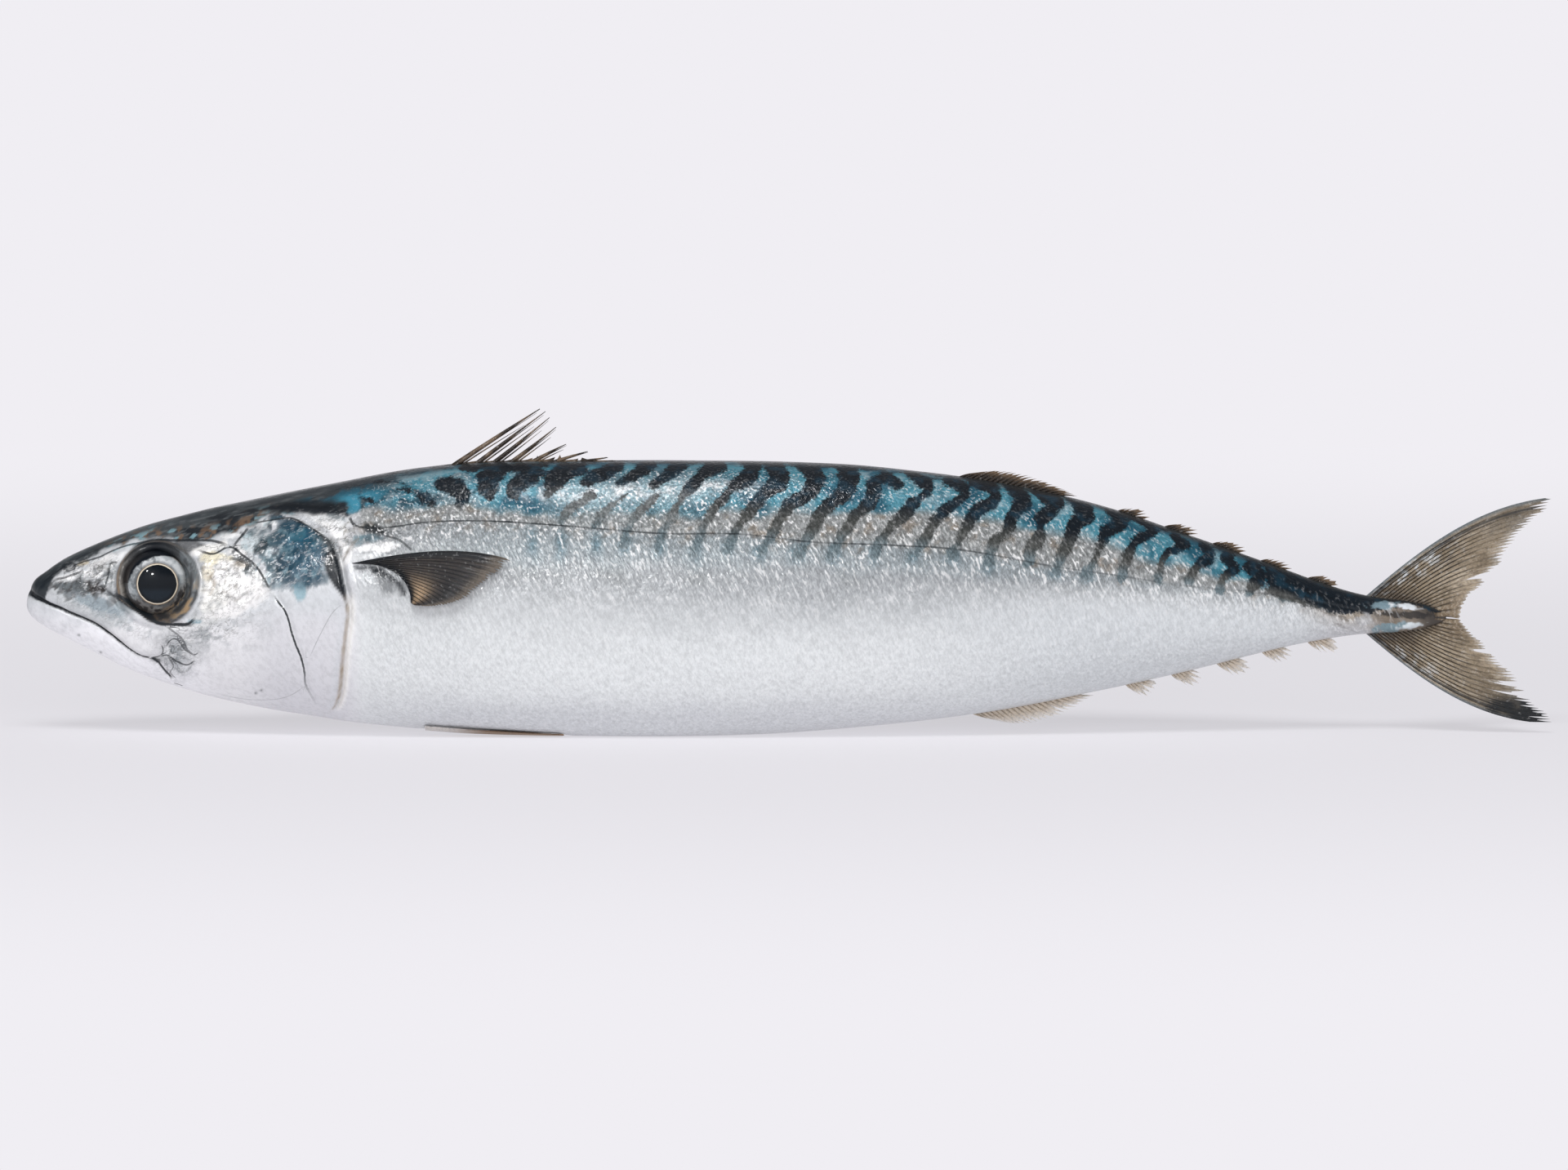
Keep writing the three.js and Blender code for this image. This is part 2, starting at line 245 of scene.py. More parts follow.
def flank_depth(x, z):
    """How far out the flank's skin is at a height."""
    middle, half_height, half_width, belly = section(x)
    share = np.clip((z - middle) / np.maximum(half_height, 1e-9), -1, 1)
    power = np.where(share > 0, BACK_FULLNESS, belly)
    return half_width * (1 - np.abs(share) ** power) ** (1 / power)


def back_at(x):
    middle, half_height, _, _ = section(x)
    return middle + half_height


def belly_at(x):
    middle, half_height, _, _ = section(x)
    return middle - half_height


def settled(z, floor, softness=0.3):
    """Presses what is below the floor softly up to it."""
    over = z - floor
    return floor + (over + np.sqrt(over**2 + softness)) / 2


# ---- Meshes and materials ----

SHARP = math.radians(50)  # edges of a fin that turn further are shaded as edges


def new_object(name, points, faces, attributes):
    """A smooth mesh from points in millimetres. attributes has a value or a colour for each point."""
    co = np.asarray(points, float).reshape(-1, 3) + [JAW, 0, 0]
    mesh = bpy.data.meshes.new(name)
    mesh.from_pydata((co * MM).tolist(), [], faces)
    for key, values in attributes.items():
        values = np.asarray(values, np.float32)
        if values.ndim > 1:
            flat = np.ones((len(co), 4), np.float32)
            flat[:, :3] = values.reshape(-1, 3)
            mesh.attributes.new(key, "FLOAT_COLOR", "POINT").data.foreach_set("color", flat.ravel())
        else:
            mesh.attributes.new(key, "FLOAT", "POINT").data.foreach_set("value", values.ravel())
    mesh.polygons.foreach_set("use_smooth", np.ones(len(mesh.polygons), bool))
    mesh.update()
    piece = bpy.data.objects.new(name, mesh)
    bpy.context.scene.collection.objects.link(piece)
    return piece


def stand_for(piece, node, material):
    """Makes a piece ride with the fish in place of a CAD node."""
    piece.data.materials.append(material)
    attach(piece, "root")
    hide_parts(node)
    return piece


def grid_faces(rows, columns, closed=False):
    """Quads between the points of a grid. In a closed grid, the last column meets the first."""
    i, j = np.meshgrid(np.arange(rows - 1), np.arange(columns if closed else columns - 1), indexing="ij")
    here, beside = i * columns, (j + 1) % columns
    corners = [here + j, here + beside, here + columns + beside, here + columns + j]
    return np.stack(corners, -1).reshape(-1, 4)


def closed_sheet(front, back):
    """Points and faces of two equal grids of points, with a wall round their edge."""
    rows, columns = front.shape[:2]
    count = rows * columns
    index = np.arange(count).reshape(rows, columns)
    edge = np.concatenate([index[0, :-1], index[:-1, -1], index[-1, :0:-1], index[:0:-1, 0]])
    after = np.roll(edge, -1)
    wall = np.stack([edge, after, after + count, edge + count], -1)
    faces = grid_faces(rows, columns)
    points = np.concatenate([front.reshape(-1, 3), back.reshape(-1, 3)])
    return points, np.concatenate([faces[:, ::-1], faces + count, wall]).tolist()


def recalculate(piece):
    """Turns every face of a closed piece outwards, and keeps its edges crisp."""
    work = bmesh.new()
    work.from_mesh(piece.data)
    bmesh.ops.recalc_face_normals(work, faces=work.faces)
    work.to_mesh(piece.data)
    work.free()
    piece.data.set_sharp_from_angle(angle=SHARP)


class Nodes:
    """A short way to write a material's node tree."""

    def __init__(self, name):
        self.material = bpy.data.materials.new(name)
        self.material.use_nodes = True
        self.tree = self.material.node_tree
        self.shader = self.tree.nodes["Principled BSDF"]

    def add(self, kind, settings=None, **inputs):
        """A node of a kind. An input is named with _ for a space, or by i and its number, and is a value or
        another node's output."""
        node = self.tree.nodes.new("ShaderNode" + kind)
        for key, value in (settings or {}).items():
            setattr(node, key, value)
        for key, value in inputs.items():
            numbered = key[0] == "i" and key[1:].isdigit()
            self.join(node.inputs[int(key[1:]) if numbered else key.replace("_", " ")], value)
        return node

    def join(self, socket, value):
        if isinstance(value, bpy.types.NodeSocket):
            self.tree.links.new(value, socket)
        else:
            socket.default_value = value

    def attribute(self, name, output="Fac"):
        return self.add("Attribute", {"attribute_name": name}).outputs[output]

    def place(self, stretch=(1, 1, 1), turn=0.0):
        """The position on the piece in millimetres, turned in the side view and stretched."""
        coordinates = self.add("TexCoord").outputs["Object"]
        turned = self.add("Mapping", Vector=coordinates, Rotation=(0, turn, 0), Scale=(1000, 1000, 1000))
        scale = tuple(1 / s for s in stretch)
        return self.add("Mapping", Vector=turned.outputs[0], Scale=scale).outputs[0]

    def noise(self, size, stretch=(1, 1, 1), turn=0.0, detail=2.0, rough=0.5):
        node = self.add(
            "TexNoise", Vector=self.place(stretch, turn), Scale=1 / size, Detail=detail, Roughness=rough
        )
        return node.outputs["Fac"]

    def cells(self, size, stretch, turn):
        return self.add("TexVoronoi", Vector=self.place(stretch, turn), Scale=1 / size).outputs["Distance"]

    def math(self, operation, a, b=0.0):
        return self.add("Math", {"operation": operation}, i0=a, i1=b).outputs[0]

    def times(self, a, b):
        return self.math("MULTIPLY", a, b)

    def ramp(self, value, low, high, to_low=0.0, to_high=1.0):
        """A value taken smoothly from one range to another."""
        node = self.add("MapRange", {"interpolation_type": "SMOOTHSTEP"}, Value=value)
        for key, number in zip(("From Min", "From Max", "To Min", "To Max"), (low, high, to_low, to_high)):
            self.join(node.inputs[key], number)
        return node.outputs[0]

    def blend(self, share, a, b, how="MIX"):
        node = self.add("Mix", {"data_type": "RGBA", "blend_type": how})
        self.join(node.inputs[0], share)
        self.join(node.inputs[6], a)
        self.join(node.inputs[7], b)
        return node.outputs[2]

    def tone(self, value, low, high, dark, light):
        """Grey from dark to light, to multiply a colour with."""
        return self.blend(self.ramp(value, low, high, dark, light), grey(0), grey(1))

    def bump(self, height, strength, distance):
        return self.add("Bump", Height=height, Strength=strength, Distance=distance).outputs[0]

    def finish(self, **inputs):
        for key, value in inputs.items():
            self.join(self.shader.inputs[key.replace("_", " ")], value)
        return self.material


def grey(value):
    return (value, value, value, 1)


def solid(red, green, blue):
    """A colour for a socket, from how the eye reads it."""
    return (*rgb(red, green, blue), 1)


# ---- Markings of the skin, as curves of points (x, z) ----

MOUTH = [
    (0.5, 32.3), (2, 31.4), (5, 30), (8, 28.8), (10, 27.8), (13, 26.4), (16, 25), (19, 23), (21.5, 21),
    (23.5, 19.4), (26, 18), (28.4, 17.4),
]  # fmt: skip
JAW_HINGE = [(28.4, 17.4), (30.2, 16.2), (31.5, 14.5), (33.4, 12.4)]
MAXILLA_TOP = [(17, 33), (20.8, 30.6), (24.2, 27.8), (28.3, 25), (32, 23.6)]
MAXILLA_END = [(28.4, 17.4), (30.6, 17.7), (31.4, 19), (31, 20.6)]
GILL_EDGE = [
    (60.5, 49.6), (64, 48.3), (67, 46.6), (69.6, 44.4), (71.1, 42), (72, 38.6), (72.8, 34.6), (73.6, 31),
    (73.9, 27), (73.3, 22), (72.7, 17), (72.3, 12), (71.6, 8), (70, 5),
]  # fmt: skip
CHEEK_PLATE = [
    (56.5, 32.6), (58, 30.3), (59.5, 28.3), (60.4, 26), (61, 23.5), (62, 20.5), (63.2, 17.5), (64, 14),
    (64.2, 11.5), (66, 8), (68, 5),
]  # fmt: skip
GILL_CREASE = [(73, 30), (70.6, 28), (68.5, 24.5), (66.5, 20.5), (65, 17)]
THROAT_CREASE = [(64.2, 11.4), (61, 9), (57, 7.8), (50, 7.8), (43, 9.2)]
LATERAL_LINE = [
    (75, 47.6), (84, 47.6), (92, 48.7), (110, 48.8), (127, 47.6), (146, 46.1), (163, 46), (181, 44.1),
    (200, 43.3), (213, 42.5), (236, 38.5), (258.6, 35), (272, 33.5), (282, 32.7), (297, 30), (308, 28),
]  # fmt: skip

# Dark marks of the back, each a curve of points (x, z, width), from the back down the flank.
MARKS = [
    [(80, 58, 1.6), (84, 57.8, 2), (88, 57.4, 1.2)],
    [(76.5, 54.6, 2.4), (79.5, 53.6, 3), (81, 52.8, 1.6)],
    [(84.6, 56.4, 1.6), (88.8, 55.8, 3), (91.4, 54.2, 3.6), (93.2, 52.8, 2.6)],
    [(95.2, 57.4, 2.6), (98.4, 56.9, 4.2), (100, 54.8, 3.6), (99.6, 52.8, 1.6)],
    [(108.6, 60.6, 3), (105.9, 58.4, 4.2), (106.2, 56, 4.4), (106.4, 54.6, 2)],
    [(117.4, 60.3, 2.4), (114.6, 58.6, 3.8), (112.4, 56.8, 3.4), (112, 55.2, 2)],
    [(127.4, 61.4, 2.6), (123.6, 60.2, 4.6), (121.2, 58, 3.6), (119.8, 55.4, 1.6)],
    [(136, 61.8, 3.4), (132, 59.8, 3.4), (128.2, 57.8, 1.8)],
    [(143.2, 61.8, 3.6), (139.6, 59.6, 3.2), (136.2, 57.6, 1.6)],
    [(149.8, 61.8, 4.4), (147.4, 59.8, 3.4), (143.8, 57, 1.6)],
    [(130, 55, 1.6), (126, 52.4, 2.2), (123.6, 50.4, 2), (122.6, 48.6, 1)],
    [(138, 55, 1.4), (134.4, 52.4, 2.2), (132, 50, 2.2), (130.6, 48, 1.6)],
    [(145.4, 55, 1.4), (142, 52, 2.2), (139.6, 49.6, 2.2), (138, 46.6, 2.2), (137.4, 43.6, 2.4)],
    [(158.6, 62, 5), (155.6, 60, 3.4), (152.6, 56.8, 2.8), (149.8, 53, 2.4), (147.6, 49, 2.6),
     (145.8, 45.6, 2), (145, 42, 2.2)],
    [(167, 61.8, 4), (165.6, 59, 4.2), (162.2, 56.8, 3.2), (159.4, 53.4, 2.6), (156.8, 50, 2.6),
     (154.6, 46, 2.4), (153.6, 41.6, 2.6)],
    [(171.6, 62.2, 5.2), (173, 58.6, 4.6), (170.4, 55.8, 4), (167.2, 52.6, 3), (164.6, 49, 2.6),
     (162.6, 46, 2.6), (161, 42.4, 2.8)],
    [(179, 62, 5.2), (181.4, 58.6, 4.8), (180, 56, 4.4), (176, 53, 3.6), (173.2, 50, 2.8),
     (171.2, 46.4, 2.6), (168.8, 41.6, 2.4)],
    [(188.2, 61.6, 5.6), (188.8, 58.4, 5), (187.4, 55.4, 4.8), (184.4, 52.8, 3.8), (182, 50, 3),
     (179.6, 46, 2.6), (177.2, 41, 2.8)],
    [(200, 57.3, 2.8), (197.4, 59.1, 3.2), (194.6, 57.6, 3.6), (194.2, 54.4, 4), (191.8, 51.4, 3.2),
     (189.2, 48.4, 3), (186.8, 45, 2.6), (185.2, 41.2, 2.6)],
    [(202.4, 60.4, 2.6), (205.4, 58.2, 3.8), (207, 56.2, 2.4), (204.8, 53.8, 1.6)],
    [(203.6, 53, 3.4), (201.4, 50.2, 3.6), (198.6, 47.4, 2.8), (196.2, 44.6, 3.2), (194.6, 41.2, 2.6)],
    [(211.4, 58.4, 3), (214.4, 56.8, 3.8), (215.6, 55, 1.8), (213.4, 53.4, 2.6), (210.6, 51, 3.4),
     (208.6, 48.6, 3.2), (206.6, 45.6, 2.8), (204.2, 41.6, 2.6)],
    [(217.4, 58.6, 3.8), (221.6, 56.6, 4), (222.4, 54, 3), (219, 51.8, 3.6), (216.6, 49.2, 3.4),
     (214.6, 45.8, 2.8), (212.4, 41.4, 3)],
    [(226.2, 57, 4.2), (228.8, 54, 4.4), (227, 51.4, 4), (225.8, 48.8, 3.4), (225, 46.2, 3),
     (222, 43.8, 3), (221.2, 39.6, 3)],
    [(232, 56, 4), (236.2, 53, 4.8), (233.8, 50.4, 3.6), (232.6, 47.6, 3.2), (232.4, 45, 3),
     (230.4, 42.6, 3), (229.4, 38.8, 2.6)],
    [(240.6, 54, 4.6), (243.2, 50.6, 4.8), (240.6, 47.6, 4), (239.2, 44.6, 3.2), (238, 41.8, 3.2),
     (236.4, 37.4, 2.6)],
    [(248.6, 52, 3.8), (250.8, 49, 4.8), (247.6, 46.2, 3.8), (246.2, 43, 3.2), (245.2, 40, 3),
     (243, 36, 2.8)],
    [(256, 49.6, 4), (258.4, 46.8, 4.6), (254.4, 44, 3.4), (252.8, 41, 3), (252, 38, 3.2),
     (251.2, 35.4, 2.8)],
    [(263.4, 45.8, 3), (265.4, 43.4, 4.2), (262, 41.6, 3.2), (260.2, 39, 3), (260, 35.2, 3.2)],
    [(270, 43.4, 3.4), (271.6, 41, 4), (269, 38.8, 3.4), (267, 35.4, 3.6)],
    [(275.4, 40.8, 3.8), (277, 38, 3.8), (274.8, 36, 3.8), (274, 33.6, 3.4)],
    [(281, 38.8, 4.2), (283.2, 36.2, 4.4), (281.6, 34, 3.8), (280.8, 32.6, 3.4)],
    [(287.4, 36, 4.2), (290, 33.4, 4.8), (288.6, 31.6, 3.6)],
    [(100, 61.2, 1.2), (106, 61.6, 1.6), (114, 61.4, 2), (119, 61.8, 1.4)],
]  # fmt: skip

# Along the flank (x, z): where the teal begins, down to where the marks are near black, and where they end.
TEAL_FOOT = [
    (60, 54), (84, 52.4), (110, 52.2), (135, 51.4), (150, 50.6), (170, 51), (190, 51.6), (215, 50.4),
    (240, 45.4), (256, 40.6), (275, 36), (300, 33.4),
]  # fmt: skip
MARKS_FULL = [
    (80, 52.6), (112, 54), (122, 58), (150, 57.6), (165, 55), (200, 53), (230, 49), (262, 42), (290, 33),
    (300, 28),
]  # fmt: skip
MARKS_FOOT = [(80, 50), (150, 42), (200, 40.5), (230, 37.6), (250, 35), (275, 32), (290, 29), (300, 24)]
# Small teal spots under the lateral line, the feet of the bars: x, z, half length, half height.
BAR_FEET = [
    (116.3, 43.6, 1.5, 3.6), (123, 43.4, 1.4, 3.6), (131, 43.6, 1.5, 2.6), (137.4, 44, 1.7, 2.4),
    (145.2, 43, 1.5, 2.6), (153.6, 42, 1.8, 2.4), (161, 43, 1.4, 1.8), (168.4, 41.6, 1.6, 2.2),
    (177, 41.4, 1.8, 2.2), (185.2, 41.6, 1.7, 2.4), (194.6, 41, 1.6, 2), (203.6, 41, 1.9, 2),
    (212.4, 40.4, 1.9, 2), (221, 38.4, 1.8, 2), (236, 37, 1.6, 1.6), (243.4, 36, 1.7, 1.5),
]  # fmt: skip
# The lower edge of the dark top of the head (x, z).
CROWN_EDGE = [
    (0, 30.4), (4.4, 30.4), (5.4, 34), (6.6, 36), (8, 37.6), (11, 39.4), (15, 41.4), (20, 43), (25, 44.6),
    (30, 45.2), (40, 45), (45, 45.8), (50, 47.8), (53, 48.8), (56, 50.2), (60, 50.9), (65, 51), (70, 50.8),
    (74, 50.2), (78, 52), (84, 56),
]  # fmt: skip

# Strokes drawn on the head and the shoulder: colour, width, strength, points (x, z).
BLACK, BROWN, WHITE = (20, 27, 34), (104, 88, 74), (246, 245, 244)
DARK, THIN = 340, 0.8  # a stroke with less red, green and blue in all, and thinner, is drawn by the material
STROKES = [
    (BLACK, 0.75, 0.95, [(19.5, 32.6), (22.5, 31), (26, 28.4), (30, 25.8), (33, 25.1), (37, 25.2),
     (39.4, 27)]),
    (BLACK, 0.6, 0.85, [(24, 42.8), (27, 44.2), (30.5, 44.8), (35, 44.6), (40, 44.6), (43.4, 44.4),
     (47, 43)]),
    ((60, 66, 70), 0.5, 0.8, [(8.5, 37.4), (13, 39.4), (17, 40.8), (21, 42.6), (26, 44.2), (30, 44.9)]),
    ((176, 206, 214), 0.5, 0.8, [(20, 42), (24, 43.6), (28, 44.4), (32, 45)]),
    (BLACK, 0.7, 0.8, [(47.6, 43), (49.4, 45.2), (51.2, 47.6)]),
    (BROWN, 0.5, 0.9, [(38.6, 42.6), (43, 41.4), (46.8, 43), (49.6, 41.2), (53, 38.4), (55, 35.2),
     (56.4, 32.8)]),
    (BROWN, 0.7, 0.7, [(46.4, 40.2), (49, 40), (51.2, 38.6), (50, 37.6)]),
    ((150, 136, 118), 0.8, 0.5, [(40.4, 39), (41.6, 36.8), (43.4, 34.8), (42, 31)]),
    ((150, 152, 152), 0.7, 0.6, [(45, 36), (48.6, 37), (52.4, 36.8)]),
    (BLACK, 1.0, 0.95, [(57, 52.2), (62, 51.8), (67, 51.2), (71, 51), (74.4, 50.2)]),
    (BLACK, 0.5, 0.8, [(52, 48.4), (56, 49), (60.6, 49.6), (64, 48.3)]),
    (BLACK, 0.9, 0.97, [(60.6, 49.6), (64, 48.2), (67, 46.4), (69.6, 44.2), (71, 41.8), (71.9, 38.4),
     (72.8, 34.4), (73.4, 31.2)]),
    (WHITE, 0.8, 0.9, [(66, 49.4), (69, 47.8), (71.4, 45.4), (73, 42.4), (73.2, 39.4)]),
    (BLACK, 0.6, 0.85, [(74.2, 50), (75.4, 48), (78, 47.4), (81, 47.2)]),
    ((128, 120, 110), 0.5, 0.7, [(73, 40), (74.6, 43), (76.6, 45)]),
    ((92, 98, 100), 0.5, 0.7, [(82, 45.6), (86, 44.4), (89, 41.8)]),
    # The black band along the pectoral fin's root is painted shadow under the fin.
    (BLACK, 1.5, 0.95, [(75.4, 38.2), (79.6, 38), (83, 36.6), (86, 34), (87.4, 31.4)]),
    ((90, 94, 96), 0.4, 0.6, [(32, 24.6), (34, 23.4), (36, 21.6), (37, 19.4), (39, 17.6)]),
    ((84, 92, 95), 0.4, 0.8, [(30.6, 17.6), (32.4, 18), (34.6, 16.6), (37, 15.8), (39, 17)]),
    ((84, 92, 95), 0.35, 0.7, [(31.6, 19.4), (33.4, 21.6), (35, 21.4), (36.4, 19.4), (38.6, 18.2),
     (39.8, 18.8)]),
    ((100, 106, 108), 0.35, 0.6, [(32.4, 18), (33.8, 15.6), (33, 14), (34.4, 12.6)]),
    ((110, 116, 118), 0.35, 0.5, [(34.4, 16.6), (34.6, 14.6), (36.6, 14.2), (38, 15.6)]),
    (BLACK, 1.1, 0.95, [(28.6, 17.3), (29.6, 17), (30.6, 16.2)]),
    (BLACK, 0.4, 0.8, [(33.6, 11.6), (34.6, 11.4), (36, 10.9)]),
    ((70, 76, 80), 0.5, 0.7, [(6.4, 35.4), (9, 36), (12, 36.9), (13, 37.4)]),
    ((120, 124, 126), 0.5, 0.6, [(15.4, 38.2), (16.4, 36.6), (17.4, 38.8), (18, 36.2)]),
    (BLACK, 0.5, 0.7, [(17.8, 33.2), (18.8, 36), (19.4, 39), (21.2, 39.6)]),
]  # fmt: skip

# Soft dabs of colour on the head: colour, x, z, half length, half height, tilt, strength. Some also give how
# ragged the edge is and the size of its teeth. Those of the gill cover, the shoulder and the keels follow.
DABS = [
    ((188, 192, 194), 14, 29.4, 10, 2.8, -28, 0.7),
    ((150, 164, 172), 15, 30.6, 6.5, 1.5, -22, 0.8),
    ((120, 130, 134), 21.4, 30, 4, 1.1, -36, 0.8),
    ((112, 114, 116), 13, 33.2, 8.4, 2.2, -8, 0.9, 0.9, 1.6),
    ((62, 60, 60), 12.4, 33.8, 6, 1.3, -6, 0.9, 0.9, 1.1),
    ((44, 40, 38), 14.8, 33.6, 3, 1, -8, 0.85, 0.8, 1.1),
    ((128, 140, 146), 16, 29.8, 9, 1.6, -28, 0.4, 0.9, 1.2),
    # The next three white dabs along the snout are painted highlights.
    ((244, 244, 244), 12.6, 36.4, 5.2, 1.1, 10, 0.95),
    ((246, 246, 246), 18, 39.4, 3.4, 1.4, 26, 0.95),
    ((240, 241, 242), 22.2, 41, 2.6, 1, 32, 0.9),
    ((176, 180, 182), 19.6, 38, 1.4, 1.6, 0, 0.7),
    ((164, 168, 170), 19, 35.4, 1.4, 2.2, 10, 0.8),
    ((214, 196, 160), 13, 39.2, 1.2, 0.5, 20, 0.7),
    ((236, 236, 236), 10, 38.3, 1, 0.5, 10, 0.9),
    ((62, 64, 66), 37, 43.4, 3.6, 1.4, 0, 0.8),
    ((248, 247, 244), 42.4, 42.8, 3.6, 1, 14, 0.95),
    ((240, 233, 208), 43.6, 40.2, 4, 1.5, -6, 0.95),
    ((238, 237, 236), 48.6, 41.6, 2, 1.3, -12, 0.9),
    ((238, 237, 236), 47, 36, 7, 3.4, -6, 0.97),
    ((238, 237, 236), 49, 32, 7, 3, 6, 0.97),
    ((246, 245, 240), 43, 31, 3, 4.4, 0, 0.9),
    ((236, 226, 198), 41.6, 37, 1.4, 2.2, -20, 0.6),
    ((170, 156, 136), 50, 38.8, 1.8, 0.8, -20, 0.7),
    ((206, 208, 208), 42, 26.4, 4, 1.4, 14, 0.8),
    ((238, 237, 236), 46, 28, 5, 1.4, 14, 0.9),
    ((104, 150, 166), 38.6, 25.8, 1.6, 0.5, 0, 0.7),
    ((246, 247, 247), 46.8, 45.6, 2.2, 0.6, 4, 0.95),
    ((196, 220, 226), 40.4, 46.4, 3.6, 0.5, 4, 0.8),
    ((240, 242, 243), 57, 48.6, 3, 0.7, 10, 0.95),
    ((150, 190, 202), 59.8, 50.8, 2, 0.4, -8, 0.8),
    ((186, 190, 192), 33, 42.8, 2.6, 0.4, -10, 0.5),
]  # fmt: skip
COVER_DABS = [
    ((52, 84, 96), 62.5, 42, 8.6, 6.4, -14, 0.95),
    ((84, 104, 112), 57.6, 42.4, 6.4, 5.4, -24, 0.92),
    ((206, 216, 220), 51.6, 44, 2.2, 1.6, -40, 0.9),
    ((224, 230, 232), 56.8, 41.8, 1.8, 1.1, 20, 0.85),
    ((40, 52, 58), 54.2, 42.6, 1.8, 1.2, 30, 0.8),
    ((58, 66, 70), 58.6, 37.6, 2, 2.8, 10, 0.85),
    ((150, 160, 164), 57, 35, 2.4, 2, 0, 0.7),
    ((38, 118, 148), 65.2, 43, 5.2, 3.4, 4, 0.97),
    ((116, 184, 202), 62.6, 45.4, 2.2, 1, 20, 0.8),
    ((84, 164, 190), 66.4, 44.6, 2.6, 0.9, 24, 0.8),
    ((24, 54, 70), 64.4, 41.6, 3.4, 1.1, 10, 0.8),
    ((62, 98, 112), 63.4, 38.4, 3.4, 2.6, 0, 0.85),
    ((96, 156, 172), 63, 33, 1.2, 2.2, 0, 0.6),
    ((30, 34, 38), 69.4, 40.6, 1.6, 1.4, 40, 0.9),
    ((92, 82, 74), 72.8, 32.6, 0.5, 2, 16, 0.8),
    ((120, 98, 78), 73.2, 31, 0.3, 0.9, 20, 0.8),
]  # fmt: skip
SHOULDER_DABS = [
    ((236, 238, 239), 69.4, 49.4, 4.6, 1.3, -12, 0.95),
    ((244, 244, 244), 72, 46.2, 2, 3.4, 30, 0.95),
    ((248, 248, 248), 73.4, 40.8, 1.1, 3, -16, 0.95),
    ((120, 134, 140), 71.4, 49.8, 2.4, 0.6, -20, 0.7),
    ((30, 35, 39), 80.6, 46.8, 3.2, 1.1, -20, 0.95),
    ((64, 96, 108), 79, 45, 3.4, 0.8, 0, 0.8),
    ((120, 150, 160), 76.4, 44.6, 1.4, 1.2, 30, 0.6),
    ((250, 250, 250), 81.4, 42.8, 4.6, 1, 4, 0.97),
    ((228, 230, 231), 78.4, 40.8, 3.4, 0.7, 8, 0.9),
    ((36, 40, 44), 81.4, 36.8, 2.6, 0.9, -20, 0.9),
    ((104, 108, 110), 82.6, 34.4, 2.4, 1.6, -40, 0.7),
]  # fmt: skip
KEEL_DABS = [
    ((122, 146, 156), 311.6, 29.4, 2.8, 0.8, 0, 0.9),
    ((218, 224, 228), 316.6, 29, 3.2, 0.5, -8, 0.95),
    ((114, 140, 150), 312.6, 24.6, 3.6, 0.8, 10, 0.85),
    ((208, 216, 220), 317.6, 25.1, 3, 0.45, 8, 0.85),
    ((34, 33, 34), 317, 27.3, 7, 0.7, -2, 0.85),
    ((176, 178, 182), 306.6, 26.2, 2.2, 1.2, 0, 0.7),
]  # fmt: skip


